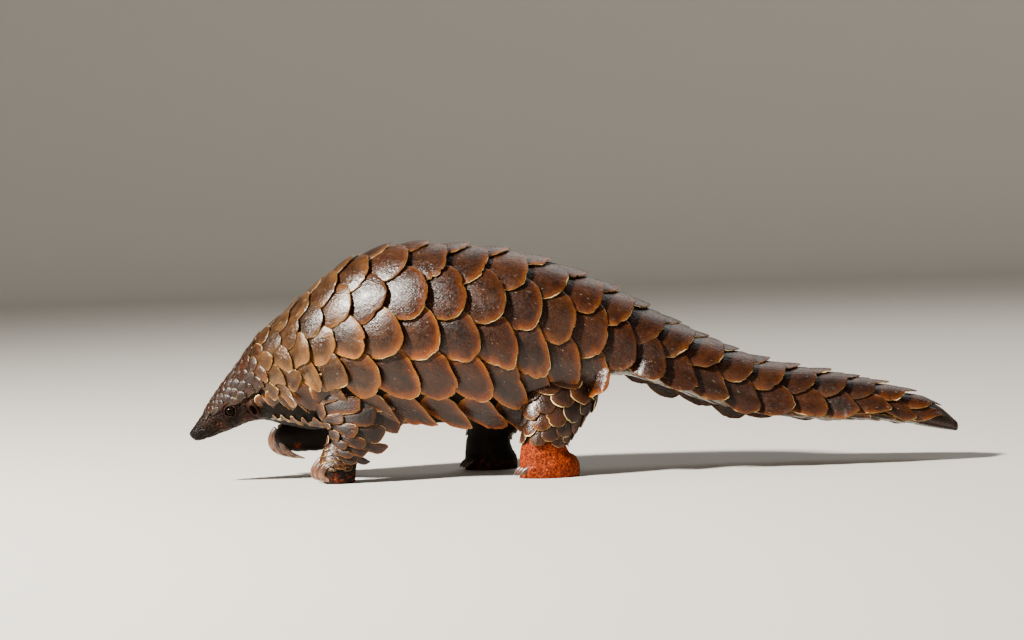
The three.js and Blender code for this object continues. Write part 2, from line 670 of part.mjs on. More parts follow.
function eyeball(sign, grow = 0) {
  const centre = headPoint(EYE.station, EYE.angle, sign);
  centre.addScaledVector(headNormal(EYE.station, EYE.angle, sign), -EYE.sunk);
  const radius = EYE.radius + grow;
  return ball(centre, [radius, radius, radius], 10);
}

let whole = trunkSkin().add(trunkCoat());
whole = whole.add(ball(vec(NOSE.x, 0, NOSE.z), Array(3).fill(NOSE.radius), 8));
for (const name of Object.keys(LEGS)) whole = whole.add(wholeLimb(name));
for (const sign of [1, -1]) {
  const nostril = vec(NOSTRIL.x, sign * NOSTRIL.y, NOSTRIL.z);
  whole = whole.add(eyelid(sign)).subtract(eyeball(sign, CUT));
  whole = whole.subtract(ball(headPoint(EAR.station, EAR.angle, sign), EAR.pit, 8));
  whole = whole.subtract(earRim(sign, CUT)).subtract(mouthLine(sign));
  whole = whole.subtract(ball(nostril, Array(3).fill(NOSTRIL.radius), 6));
}
for (const shape of Object.values(CLAWS)) whole = whole.subtract(claw(...shape, CUT));

let trunk = whole;
for (const [name, block] of Object.entries(LEG_BLOCKS)) {
  const sign = name.endsWith("left") ? -1 : 1;
  const [axis, place] = block.ankle;
  const cutFrom = axis === "z" ? vec(0, 0, place) : vec(place, 0, 0);
  const footward = axis === "z" ? vec(0, 0, -1) : vec(-1, 0, 0);
  const side = (direction) => halfSpace(cutFrom.clone().addScaledVector(direction, CUT / 2), direction);
  const piece = whole.intersect(legBlock(block, sign, 0));
  trunk = trunk.subtract(legBlock(block, sign, CUT));
  addNode(name, piece.intersect(side(footward.clone().negate())), scaleHorn);
  addNode(name.replace("leg", "foot"), piece.intersect(side(footward)), darkSkin);
}
for (const [name, from, to] of TRUNK_NODES) {
  addNode(name, between(trunk, from, to), name === "head" ? darkSkin : scaleHorn);
}
for (const [side, sign] of [["left", 1], ["right", -1]]) {
  addNode(`eye_${side}`, eyeball(sign), eyeBlack);
  addNode(`ear_${side}`, earRim(sign), darkSkin);
}
for (const [name, shape] of Object.entries(CLAWS)) addNode(name, claw(...shape), clawHorn);

export default group;
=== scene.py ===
"""A Temminck's ground pangolin at life size, walking with its head low and a forefoot lifted."""

import math
from math import pi

import bmesh
import bpy
import numpy as np
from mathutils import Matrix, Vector, noise
from numpy.linalg import norm


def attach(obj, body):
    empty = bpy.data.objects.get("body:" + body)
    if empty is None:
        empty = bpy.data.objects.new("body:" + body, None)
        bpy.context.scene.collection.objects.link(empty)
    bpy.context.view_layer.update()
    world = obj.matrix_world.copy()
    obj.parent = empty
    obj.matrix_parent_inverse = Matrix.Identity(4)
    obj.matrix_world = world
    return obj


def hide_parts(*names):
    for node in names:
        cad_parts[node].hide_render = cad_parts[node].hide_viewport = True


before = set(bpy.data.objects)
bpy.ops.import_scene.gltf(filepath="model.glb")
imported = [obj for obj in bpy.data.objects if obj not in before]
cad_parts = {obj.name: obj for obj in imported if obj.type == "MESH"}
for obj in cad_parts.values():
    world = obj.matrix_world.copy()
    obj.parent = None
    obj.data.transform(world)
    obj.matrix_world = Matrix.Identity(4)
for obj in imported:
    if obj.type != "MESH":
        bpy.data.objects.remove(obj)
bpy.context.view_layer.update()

# Body skin
# One tough dark skin over head, trunk, tail, legs and feet, bare on the face, throat, belly and
# soles. It is a single surface, wrinkled on the face and drawn tight under the scales.
MM = 0.001
ACROSS = np.array([0.0, 1.0, 0.0])
# Sections from the nose to the end of the tail, over the scales, in millimetres: the dorsal point
# (x, z), the belly point (x, z) and the half width.
BODY_LINE = np.array([
    [-461, 61, -454, 50, 7], [-456, 69, -441, 53, 11], [-447, 82, -425, 58, 16],
    [-433, 103, -405, 65, 23], [-417, 124, -385, 72, 28], [-400, 145, -368, 73, 34],
    [-377, 176, -353, 68, 46], [-347, 201, -332, 63, 60], [-308, 234, -307, 57, 74],
    [-259, 267, -270, 56, 87], [-201, 282, -219, 56, 96], [-141, 280, -164, 56, 100],
    [-81, 272, -109, 58, 99], [-27, 258, -63, 66, 94], [18, 240, -24, 80, 88],
    [61, 218, 17, 94, 83], [99, 195, 58, 98, 79], [144, 169, 105, 84, 76],
    [185, 149, 152, 66, 70], [230, 130, 202, 52, 64], [274, 119, 254, 44, 59],
    [322, 109, 308, 40, 54], [370, 97, 359, 40, 47], [411, 82, 404, 37, 37],
    [440, 65, 437, 34, 26], [459, 46, 457, 33, 9],
], float)
LAST = len(BODY_LINE) - 1
STATION_SPACING = 40
TAIL_ROLL = math.radians(6)
# How the section changes along the body, as (station, value).
WIDEST_AT = ((6, 0.45), (13, 0.42), (17, 0.2), (25, 0.3))
UPPER_POWER = ((5, 2), (9, 2.1), (25, 2.05))
LOWER_POWER = ((6, 2.1), (9, 2.4), (14, 2.4), (17, 3.2), (23, 3))
ROLL = ((13, 0), (17, TAIL_ROLL), (25, TAIL_ROLL))
BELLY_INSET = ((7, 0.2), (9, 0.6), (13, 0.6), (16, 1.6), (25, 1.2))
SCALE_DEPTH = ((1, 0.4), (3.4, 1.6), (5, 2.4), (6, 3.4), (7.5, 5.5), (9, 8), (13, 8.5), (17, 8),
               (22, 6.5), (25, 4))
# How much deeper than that the skin lies where scales cover it.
UNDER_SCALES = ((5, 0), (7, 1.8), (10, 4.5), (20, 4.5), (24, 1.5))


def unit(v):
    return v / np.maximum(norm(v, axis=-1, keepdims=True), 1e-9)


def along(pairs, u):
    """A value that changes smoothly along the body line, from (station, value) pairs."""
    stations, values = np.array(pairs, float).T
    i = np.clip(np.searchsorted(stations, u), 1, len(stations) - 1)
    w = np.clip((u - stations[i - 1]) / (stations[i] - stations[i - 1]), 0, 1)
    return values[i - 1] + (values[i] - values[i - 1]) * w * w * (3 - 2 * w)


def smooth_line(points, at):
    """A centripetal Catmull-Rom line through points, at places counted in points."""
    ends = np.vstack([2 * points[0] - points[1], points, 2 * points[-1] - points[-2]])
    i = np.clip(np.floor(at).astype(int), 0, len(points) - 2)
    w = (at - i)[..., None]
    p0, p1, p2, p3 = (ends[i + k] for k in range(4))
    d0, d1, d2 = (np.sqrt(norm(b - a, axis=-1, keepdims=True))
                  for a, b in ((p0, p1), (p1, p2), (p2, p3)))
    t1 = ((p1 - p0) / d0 - (p2 - p0) / (d0 + d1) + (p2 - p1) / d1) * d1
    t2 = ((p2 - p1) / d1 - (p3 - p1) / (d1 + d2) + (p3 - p2) / d2) * d1
    return (p1 + t1 * w + (3 * (p2 - p1) - 2 * t1 - t2) * w ** 2
            + (2 * (p1 - p2) + t1 + t2) * w ** 3)


def section(u, inset=0.0):
    """The trunk's sections at stations: middle, directions, half axes and powers."""
    u = np.asarray(u, float)
    flat = np.zeros(len(BODY_LINE))
    top = smooth_line(np.stack([BODY_LINE[:, 0], flat, BODY_LINE[:, 1]], 1), u)
    low = smooth_line(np.stack([BODY_LINE[:, 2], flat, BODY_LINE[:, 3]], 1), u)
    widths = np.stack([np.arange(len(BODY_LINE)) * STATION_SPACING, BODY_LINE[:, 4], flat], 1)
    half = np.maximum(smooth_line(widths, u)[..., 1] - inset, 2)
    up = unit(top - low)
    plane = unit(np.cross(ACROSS, up))
    below_in = inset * along(BELLY_INSET, u)
    height = norm(top - low, axis=-1) - inset - below_in
    widest = along(WIDEST_AT, u)
    middle = low + up * (below_in + height * widest)[..., None]
    roll = -along(ROLL, u)[..., None]
    side = -ACROSS * np.cos(roll) + np.cross(plane, -ACROSS) * np.sin(roll)
    up = up * np.cos(roll) + np.cross(plane, up) * np.sin(roll)
    return {"middle": middle, "plane": plane, "side": side, "up": up, "half": half,
            "above": height * (1 - widest), "below": height * widest,
            "upper": along(UPPER_POWER, u), "lower": along(LOWER_POWER, u)}


def outline(s, angle):
    """Points of sections' outlines: 0 on the back, pi on the belly, above 0 on the left."""
    a = np.abs(angle)
    above = a < pi / 2
    power = 2 / np.where(above, s["upper"], s["lower"])
    out = np.sign(angle) * s["half"] * np.sin(a) ** power
    rise = np.abs(np.cos(a)) ** power * np.where(above, s["above"], -s["below"])
    return s["middle"] + s["side"] * out[..., None] + s["up"] * rise[..., None]


def skin_surface(u, angle, deeper=0.0):
    u = np.asarray(u, float)
    return outline(section(u, along(SCALE_DEPTH, u) + deeper), angle)


def closed_tube(rings):
    """Points and faces of a closed tube through rings of equal point count."""
    count, sides = rings.shape[:2]
    faces = [tuple(range(sides - 1, -1, -1)),
             tuple((count - 1) * sides + i for i in range(sides))]
    for r in range(count - 1):
        for i in range(sides):
            a, b = r * sides + i, r * sides + (i + 1) % sides
            faces.append((a, b, b + sides, a + sides))
    return rings.reshape(-1, 3), faces


# Limbs: (x, y, z, radius along X, radius across) from the root inside the trunk to the ankle.
STOP_SPACING = 30
LIMB_RINGS, LIMB_SIDES = 28, 36
FORELEG_LEFT = ((-262, -38, 118, 42, 20), (-264, -50, 92, 39, 22), (-266, -58, 64, 26, 19),
                (-272, -60, 42, 20, 17), (-277, -60, 26, 19, 16))
UPPER_ARM_RIGHT = ((-266, 38, 118, 44, 20), (-275, 52, 88, 37, 21), (-284, 58, 60, 27, 20),
                   (-288, 60, 42, 14, 13))
FOREARM_RIGHT = ((-268, 59, 56, 14, 13), (-292, 59, 54, 22, 20), (-312, 58, 51, 21, 19),
                 (-340, 57, 49, 19, 18))
HINDLEG_LEFT = ((-14, -36, 128, 50, 24), (-20, -50, 100, 48, 26), (-28, -62, 70, 35, 25),
                (-36, -66, 44, 26, 23), (-38, -66, 26, 25, 22))
HINDLEG_RIGHT = ((-72, 36, 126, 50, 24), (-82, 50, 98, 46, 26), (-94, 62, 70, 35, 25),
                 (-102, 66, 44, 26, 23), (-104, 66, 26, 25, 22))
FOREFOOT_LEFT = ((-273, -60, 40, 21, 18), (-279, -60, 24, 21, 19), (-280, -60, 11, 20, 19),
                 (-278, -60, -6, 17, 15))
FOREFOOT_RIGHT = ((-314, 58, 50, 20, 18), (-340, 57, 49, 20, 20), (-355, 56, 46, 15, 17),
                  (-363, 56, 44, 7, 10))
HINDFOOT_LEFT = ((-38, -66, 40, 26, 23), (-36, -66, 19, 31, 25), (-32, -66, 7, 37, 27),
                 (-31, -66, -6, 34, 24))
HINDFOOT_RIGHT = ((-104, 66, 40, 26, 23), (-103, 66, 19, 30, 25), (-101, 66, 7, 33, 27),
                  (-100, 66, -6, 31, 24))


def limb_place(stops, share, angle):
    """Points on a limb, the way out of it and the way round it, from shares of its length and
    angles from its front."""
    stops = np.array(stops, float)
    centres = stops[:, :3]
    radii = np.column_stack([np.arange(len(stops)) * STOP_SPACING, stops[:, 3:]])
    last = len(stops) - 1
    t = np.clip(share, 0, 1) * last
    ahead = smooth_line(centres, np.minimum(t + 1e-3, last))
    forward = unit(ahead - smooth_line(centres, np.maximum(t - 1e-3, 0)))
    length = norm(np.diff(centres, axis=0), axis=1).sum()
    centre = smooth_line(centres, t) + forward * ((share - t / last) * length)[..., None]
    across = unit(ACROSS - forward * forward[..., 1:2])
    fore = unit(np.cross(across, forward))
    _, long, wide = np.moveaxis(smooth_line(radii, t), -1, 0)
    c, s = np.cos(angle), np.sin(angle)
    point = centre + fore * (c * long)[..., None] + across * (s * wide)[..., None]
    out = unit(fore * (c * wide)[..., None] + across * (s * long)[..., None])
    round_ = fore * (-s * long)[..., None] + across * (c * wide)[..., None]
    return point, out, round_


def grid(lengthwise, around):
    return np.meshgrid(lengthwise, around, indexing="ij")


def circle(sides, start=0.0):
    """Angles evenly round a circle, the first of them a share of a step on."""
    return (np.arange(sides) + start) * 2 * pi / sides


def joined(parts):
    """Points and faces of several closed tubes as one mesh."""
    points, faces, start = [], [], 0
    for part_points, part_faces in parts:
        points.append(part_points)
        faces += [tuple(start + i for i in face) for face in part_faces]
        start += len(part_points)
    return np.vstack(points), faces


def new_piece(name, points, faces, finish=None):
    """A mesh object in its material, from points in millimetres."""
    mesh = bpy.data.meshes.new(name)
    mesh.from_pydata((np.asarray(points) * MM).tolist(), [], faces)
    mesh.validate()
    mesh.shade_smooth()
    if finish:
        mesh.materials.append(finish.material)
    piece = bpy.data.objects.new(name, mesh)
    bpy.context.collection.objects.link(piece)
    return piece


def mesh_vectors(mesh, key):
    vectors = np.empty(len(mesh.vertices) * 3)
    mesh.vertices.foreach_get(key, vectors)
    return vectors.reshape(-1, 3)


def set_values(mesh, name, values, kind="FLOAT"):
    """A value at each point of a mesh, for its material."""
    attribute = mesh.attributes.new(name, kind, "POINT")
    key = "vector" if kind == "FLOAT_VECTOR" else "value"
    attribute.data.foreach_set(key, np.asarray(values, np.float32).ravel())


TRUNK_RINGS = np.concatenate([np.arange(0, 6, 0.05), np.arange(6, LAST, 0.1), [LAST]])
TRUNK_SIDES = 120
FUSE_VOXEL = 2.9
# Toes and the end of the nose are balls of flesh: (x, y, z, radius). Hind toes stand at these
# places across the foot, the outer ones farther back.
HIND_TOES, OUTER_BACK = (-19, -9.5, 0, 9.5, 19), 0.35
balls = [(x + abs(off) * OUTER_BACK, y + off, 8.5, 7.6)
         for x, y in ((-58, -66), (-124, 66)) for off in HIND_TOES]
for off in (-12, 0, 12):
    balls += [(-284 - off * 0.5, -60 + off, 27, 8), (-351 - off * 0.7, 56 + off, 51, 7.5)]
balls.append((-454, 0, 60, 7.5))

u, angle = grid(TRUNK_RINGS, pi - circle(TRUNK_SIDES, 0.5))
parts = [closed_tube(skin_surface(u, angle, along(UNDER_SCALES, u)))]
share, angle = grid(np.linspace(0, 1, LIMB_RINGS), circle(LIMB_SIDES))
parts += [closed_tube(limb_place(stops, share, angle)[0]) for stops in (
    FORELEG_LEFT, UPPER_ARM_RIGHT, FOREARM_RIGHT, HINDLEG_LEFT, HINDLEG_RIGHT, FOREFOOT_LEFT,
    FOREFOOT_RIGHT, HINDFOOT_LEFT, HINDFOOT_RIGHT)]
polar, turn = grid(np.linspace(0.05, pi - 0.05, 12), circle(18))
ball = np.stack([np.sin(polar) * np.cos(turn), np.sin(polar) * np.sin(turn), np.cos(polar)], -1)
parts += [closed_tube(np.array(centre) + ball[:, ::-1] * radius) for *centre, radius in balls]

rough = new_piece("rough_body", *joined(parts))
fused = rough.modifiers.new("fuse", "REMESH")
fused.mode = "VOXEL"
fused.voxel_size = FUSE_VOXEL * MM
rounded = rough.modifiers.new("round", "SMOOTH")
rounded.factor = 0.5
rounded.iterations = 4
made = rough.evaluated_get(bpy.context.evaluated_depsgraph_get())
skin_mesh = bpy.data.meshes.new_from_object(made)
bpy.data.objects.remove(rough)
skin_mesh.name = "skin"

# The face takes finer faces than the rest, for its folds.
FACE_BACK = -360
work = bmesh.new()
work.from_mesh(skin_mesh)
for _ in range(2):
    edges = [e for e in work.edges if all(v.co.x < FACE_BACK * MM for v in e.verts)]
    bmesh.ops.subdivide_edges(work, edges=edges, cuts=1, use_grid_fill=True)
    face_verts = [v for v in work.verts if v.co.x < (FACE_BACK + 3) * MM]
    bmesh.ops.smooth_vert(work, verts=face_verts, factor=0.5, use_axis_x=True, use_axis_y=True,
                          use_axis_z=True)
work.normal_update()
work.to_mesh(skin_mesh)
work.free()
skin_mesh.shade_smooth()


def step(x, start, end):
    """0 before start, 1 after end, smooth between."""
    w = np.clip((x - start) / (end - start), 0, 1)
    return w * w * (3 - 2 * w)


def bump_at(distance, width):
    return np.exp(-(distance / width) ** 2)


def fractal(points, size, seed, octaves):
    """Smooth noise between about -1 and 1 at points, with features of a size."""
    shift = Vector((seed, seed * 1.7, seed * 0.6))
    return np.array([noise.fractal(Vector(p) / size + shift, 0.8, 2.0, octaves) for p in points])


def face_frame(station, angle, sign):
    """A place on the head with its way out, the way to the tail and the way up on it."""
    angle = math.radians(angle) * sign
    at, back, lower = (skin_surface([station + du], np.array([angle + da]))[0]
                       for du, da in ((0, 0), (0.1, 0), (0, 0.04 * sign)))
    tailward = unit(back - at)
    out = unit(np.cross(tailward, at - lower)) * sign
    return at, out, tailward, unit(np.cross(out, tailward) * sign)


EYE_STATION, EYE_ANGLE = 3.42, 92
EAR_STATION, EAR_ANGLE = 4.72, 116
EYE_RADIUS, EYE_SUNK = 6.0, 2.9
LID_HALF = (6.1, 5.4)
# Folds round the lids: height, distance in half openings, width, and ripple, waves and start.
LID_FOLDS = ((1.9, 1.2, 0.2, 0.25, 9, 1), (-0.9, 1.55, 0.16, 0, 0, 0),
             (0.75, 1.8, 0.17, 0.3, 7, 0), (-0.5, 2.1, 0.17, 0, 0, 0))
EAR_HALF = (5.0, 8.0)
MOUTH_FROM, MOUTH_TO = (0.2, 150), (2.5, 120)
NOSTRIL = np.array([-460.5, 3.6, 58.5])

skin_points = mesh_vectors(skin_mesh, "co") / MM
normals = mesh_vectors(skin_mesh, "normal")
ahead = skin_points[:, 0] < FACE_BACK + 12
face, rest = np.flatnonzero(ahead), np.flatnonzero(~ahead)
p, n = skin_points[face], normals[face]
on_face = step(-p[:, 0], -FACE_BACK - 6, -FACE_BACK + 14)
push, wet, fleshy = np.zeros((3, len(p)))
move = np.zeros_like(p)
folds = np.ones(len(p))
for sign in (1, -1):
    here = p[:, 1] * -sign > -2
    # Eye: an opening between two lids, with folds of skin round it and a brow above.
    at, out, tailward, upward = face_frame(EYE_STATION, EYE_ANGLE, sign)
    d = p - at
    x, y = d @ tailward, d @ upward
    near = here * step(norm(d, axis=1), 32, 22)
    q = np.hypot(x / LID_HALF[0], y / LID_HALF[1])
    turn = np.arctan2(y, x)
    for high, away, width, ripple, waves, first in LID_FOLDS:
        push += near * high * bump_at(q - away, width) * (1 + ripple * np.sin(turn * waves + first))
    push += near * 1.2 * bump_at(np.hypot(x / 11, (y - 10) / 4), 1)
    opening = near * step(q, 1.04, 0.86)
    move -= (out * 5.2) * opening[:, None]
    wet = np.maximum(wet, near * bump_at(q - 1.0, 0.12))
    fleshy = np.maximum(fleshy, near * bump_at(q - 1.3, 0.2) * 0.7)
    folds *= 1 - near * step(q, 1.9, 1.3)
    # Ear: a fleshy rim, open to the front, round a deep pit.
    at, out, tailward, upward = face_frame(EAR_STATION, EAR_ANGLE, sign)
    d = p - at
    x, y = d @ tailward, d @ upward
    near = here * step(norm(d, axis=1), 22, 15)
    q = np.hypot(x / EAR_HALF[0], y / EAR_HALF[1])
    gap = bump_at(np.arctan2(y, -x), 0.55)
    move += out * (near * 4.6 * bump_at(q - 1.0, 0.3) * (1 - 0.85 * gap))[:, None]
    move -= out * (near * 5.5 * step(q, 0.75, 0.35))[:, None]
    push -= near * 1.0 * bump_at(q - 1.7, 0.3)
    fleshy = np.maximum(fleshy, near * bump_at(q - 1.05, 0.3) * (1 - gap))
    folds *= 1 - near * step(q, 1.6, 1.2) * 0.6
    # Mouth: a long thin slit with firm lips.
    stations, angles = np.linspace(MOUTH_FROM, MOUTH_TO, 40).T
    line = skin_surface(stations, sign * np.radians(angles))
    off = norm(p[:, None] - line[None], axis=2)
    which = off.argmin(1)
    off = off.min(1)
    fade = step(which, 0, 2) * step(which, 39, 33) * here
    push -= fade * 1.5 * bump_at(off, 0.85)
    push += fade * 0.55 * bump_at(off - 2.2, 1.1)
    # Nostril: a comma-shaped pit in the moist end of the nose.
    d = p - NOSTRIL * (1, -sign, 1)
    q = np.hypot(np.hypot(d[:, 1] * 1.15, d[:, 2] - d[:, 1] * sign * 0.3), d[:, 0] * 0.5)
    move[:, 0] += here * 3.2 * step(q, 2.3, 1.1)
    push += here * 0.5 * bump_at(q - 3.0, 0.7)
    wet = np.maximum(wet, here * step(q, 3.2, 2.0))
nose = step(-p[:, 0], 446, 455)
wet = np.maximum(wet, nose)
folds *= 1 - 0.7 * nose
crease = 1 - np.abs(fractal(p * (1, 1.2, 1.5), 7.5, 3.1, 2))
lumps = fractal(p, 11, 8.4, 3)
grain = fractal(p, 2.4, 1.3, 2)
push += on_face * folds * (0.75 * lumps - 1.1 * step(crease, 0.8, 1.0) + 0.28 * grain)
push += on_face * nose * 0.16 * grain
skin_points[face] = p + n * push[:, None] + move
skin_points[rest] += normals[rest] * (0.7 * fractal(skin_points[rest], 9, 5.0, 3))[:, None]
skin_points[:, 2] = np.maximum(skin_points[:, 2], 0)
skin_mesh.vertices.foreach_set("co", (skin_points * MM).ravel())
skin_mesh.update()
for name, values in (("wet", wet), ("fleshy", fleshy), ("bare", on_face)):
    everywhere = np.zeros(len(skin_points))
    everywhere[face] = values
    set_values(skin_mesh, name, everywhere)
# Sand clings to the standing feet, (x, y, how much, how high), and to the lifted foot's palm. The
# far hind foot takes less, which keeps it dark as painted shade.
DUSTED_FEET = ((-36, -66, 1.2, 56), (-103, 66, 0.5, 20), (-280, -60, 0.4, 20))
DUST_REACH = 55
PALM = (-334, 42, 38)
dust = 0.6 * bump_at(norm(skin_points - PALM, axis=1), 6)
for x, y, strength, height in DUSTED_FEET:
    near = bump_at(np.hypot(skin_points[:, 0] - x, skin_points[:, 1] - y), DUST_REACH)
    dust = np.maximum(dust, strength * near * step(skin_points[:, 2], height, height * 0.5))
set_values(skin_mesh, "dust", dust)
skin = bpy.data.objects.new("skin", skin_mesh)
bpy.context.collection.objects.link(skin)


def tint(code):
    """A colour for a material from its everyday hex code."""
    parts = [int(code[i:i + 2], 16) / 255 for i in (0, 2, 4)]
    return tuple(v / 12.92 if v <= 0.04045 else ((v + 0.055) / 1.055) ** 2.4 for v in parts) + (1,)


class Finish:
    """A material and short ways to add its nodes."""

    def __init__(self, name):
        self.material = bpy.data.materials.new(name)
        self.material.use_nodes = True
        self.tree = self.material.node_tree
        self.shader = self.tree.nodes["Principled BSDF"]

    def add(self, kind, inputs=None, **settings):
        made = self.tree.nodes.new("ShaderNode" + kind)
        for key, value in settings.items():
            setattr(made, key, value)
        for key, value in (inputs or {}).items():
            self.feed(made.inputs[key], value)
        return made

    def feed(self, socket, value):
        if isinstance(value, bpy.types.NodeSocket):
            self.tree.links.new(value, socket)
        else:
            socket.default_value = value

    def value(self, name, output="Fac"):
        return self.add("Attribute", attribute_name=name).outputs[output]

    def math(self, operation, a, b, c=0.0):
        made = self.add("Math", operation=operation)
        for socket, value in zip(made.inputs, (a, b, c)):
            self.feed(socket, value)
        return made.outputs[0]

    def times(self, a, b):
        return self.math("MULTIPLY", a, b)

    def scaled(self, a, by, plus):
        return self.math("MULTIPLY_ADD", a, by, plus)

    def ramp(self, factor, *stops):
        made = self.add("ValToRGB", {"Fac": factor})
        ramp = made.color_ramp
        while len(ramp.elements) < len(stops):
            ramp.elements.new(1)
        for element, (place, colour) in zip(ramp.elements, stops):
            element.position = place
            element.color = tint(colour) if isinstance(colour, str) else (colour,) * 3 + (1,)
        return made.outputs["Color"]

    def mix(self, factor, a, b):
        made = self.add("Mix", data_type="RGBA")
        for index, value in ((0, factor), (6, a), (7, b)):
            self.feed(made.inputs[index], tint(value) if isinstance(value, str) else value)
        return made.outputs[2]

    def noise(self, vector, scale, detail, rough=0.55, stretch=None):
        if stretch:
            vector = self.add("Mapping", {"Vector": vector, "Scale": stretch}).outputs[0]
        return self.add("TexNoise", {"Vector": vector, "Scale": scale, "Detail": detail,
                                     "Roughness": rough}).outputs["Fac"]

    def bump(self, height, distance, strength, normal=None):
        inputs = {"Height": height, "Distance": distance, "Strength": strength}
        if normal is not None:
            inputs["Normal"] = normal
        return self.add("Bump", inputs).outputs[0]

    def set(self, **sockets):
        for key, value in sockets.items():
            self.feed(self.shader.inputs[key.replace("_", " ")], value)


hide = Finish("dark_hide")
place = hide.add("TexCoord").outputs["Object"]
blotch = hide.noise(place, 45, 5, 0.6)
cells = hide.add("TexVoronoi", {"Vector": place, "Scale": 620, "Randomness": 0.9},
                 feature="DISTANCE_TO_EDGE").outputs["Distance"]
fine = hide.noise(place, 900, 3)
colour = hide.ramp(blotch, (0.3, "080503"), (0.52, "120b07"), (0.72, "22170f"))
face_colour = hide.ramp(blotch, (0.25, "080302"), (0.5, "180b05"), (0.7, "361c0e"))
colour = hide.mix(hide.value("bare"), colour, face_colour)
colour = hide.mix(hide.times(hide.value("fleshy"), 0.7), colour, "2f1a10")
colour = hide.mix(hide.value("wet"), colour, "120d0c")
sand = hide.ramp(hide.noise(place, 420, 6, 0.8), (0.4, "150602"), (0.48, "621e03"),
                 (0.58, "9a380a"), (0.7, "c8692c"))
patchy = hide.scaled(hide.noise(place, 150, 6, 0.75), 1.6, -0.8)
dusted = hide.ramp(hide.math("ADD", hide.value("dust"), patchy), (0.35, 0.0), (0.65, 1.0))
colour = hide.mix(dusted, colour, sand)
relief = hide.bump(hide.math("MINIMUM", cells, 0.12), 0.0011, 0.9)
relief = hide.bump(fine, 0.0006, 0.6, relief)
rough = hide.scaled(hide.value("bare"), -0.22, 0.58)
rough = hide.scaled(hide.value("wet"), -0.2, rough)
hide.set(Base_Color=colour, Normal=relief, Roughness=rough, Specular_IOR_Level=0.09)
skin_mesh.materials.append(hide.material)
flesh = [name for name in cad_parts
         if name.split("_")[0] not in ("eye", "foreclaw", "hindnail")]
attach(skin, "root")
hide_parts(*flesh)

# Scales of the head, back, flanks and tail
# Overlapping plates of horn, each grown from the skin at its front edge and free at its worn,
# rounded rear edge. They lie in rows, every other row set back by half a plate.
SCALE_SPACING = ((2.0, 6.5), (3.2, 10), (4.3, 14.5), (5.3, 20), (6, 25), (7, 31), (8, 37), (9, 44),
                 (10, 48), (13.5, 48), (15, 43), (17, 39), (23, 36), (25.5, 24))
ROW_SPACING = ((2.0, 4.4), (3.2, 6.2), (4.3, 8.4), (4.9, 9.6), (5.5, 12), (6.5, 19.5), (7.5, 28),
               (8.5, 36.5), (9.5, 44), (10.5, 47), (16.5, 47), (18.5, 41), (20.5, 33.5),
               (22.5, 23), (24.5, 8.5))
ROWS_A_SIDE = ((2.0, 3.4), (3.4, 4.8), (4.2, 5.6), (5.3, 5.3), (5.8, 5.8), (6.6, 4.9), (7.4, 4.2),
               (8, 4.2), (8.6, 5.2), (12.5, 5.2), (13.5, 4.4), (14.5, 3.4), (15.5, 2.5), (16.5, 2))
HEAD_START, BODY_START = 2.0, 5.3
COAT_STEP, COAT_ANGLES = 0.05, np.arange(0, pi, pi / 60)
MOST_ROWS, MOST_SCALES = 6, 99
EDGE_FLARE, LAST_ROW_OVER, TAIL_END_OVER = 0.22, 0.2, -0.75
SCALE_LENGTH = 1.55

coat_u = np.arange(HEAD_START, LAST + 1e-6, COAT_STEP)
coat_section = section(coat_u, along(SCALE_DEPTH, coat_u))
coat_wide = {key: value[:, None] for key, value in coat_section.items()}
coat_sides = np.stack([outline(coat_wide, sign * COAT_ANGLES[None]) for sign in (1, -1)])
coat_reach = np.zeros(coat_sides.shape[:3])
coat_reach[:, :, 1:] = np.cumsum(norm(np.diff(coat_sides, axis=2), axis=3), axis=2)
coat_back = coat_sides[0, :, 0]
back_steps = norm(np.diff(coat_back, axis=0), axis=1)
coat_count = np.concatenate([[0], np.cumsum(back_steps / along(SCALE_SPACING, coat_u[1:]))])
coat_count -= np.interp(BODY_START, coat_u, coat_count)
coat_row = along(ROW_SPACING, coat_u)
coat_edge = coat_row * along(ROWS_A_SIDE, coat_u)


def row_point(i, distance):
    """Points on the skin at signed distances from the back on coat sections, with the way out."""
    side = (distance < 0).astype(int)
    reached = np.minimum(np.abs(distance), coat_edge[i])
    reach = coat_reach[side, i]
    j = np.clip((reach < reached[:, None]).sum(1), 1, len(COAT_ANGLES) - 1)
    pick = np.arange(len(j))
    r0, r1 = reach[pick, j - 1], reach[pick, j]
    p0, p1 = coat_sides[side, i, j - 1], coat_sides[side, i, j]
    point = p0 + (p1 - p0) * np.clip((reached - r0) / (r1 - r0), 0, 1.5)[:, None]
    tangent = unit(p1 - p0)
    out = np.cross(coat_section["plane"][i], tangent) * np.where(side, 1, -1)[:, None]
    over = (np.abs(distance) - reached)[:, None]
    return point + tangent * over * (1 - EDGE_FLARE) + out * over * EDGE_FLARE, out


def coat_place(count, row):
    """Points on the skin and the way out of them, from places counted in scales and rows."""
    i = np.clip(np.searchsorted(coat_count, count), 1, len(coat_count) - 1)
    c0, c1 = coat_count[i - 1], coat_count[i]
    share = np.clip((count - c0) / (c1 - c0), 0, 1)
    spacing = coat_row[i - 1] + (coat_row[i] - coat_row[i - 1]) * share
    (pa, na), (pb, nb) = (row_point(k, row * spacing) for k in (i - 1, i))
    point = pa + (pb - pa) * share[:, None]
    over = np.maximum(count - coat_count[-1], 0) * SCALE_SPACING[-1][1]
    ahead = unit(coat_back[i] - coat_back[i - 1])
    return point + ahead * over[:, None], unit(na + (nb - na) * share[:, None])


rng = np.random.default_rng(20261)
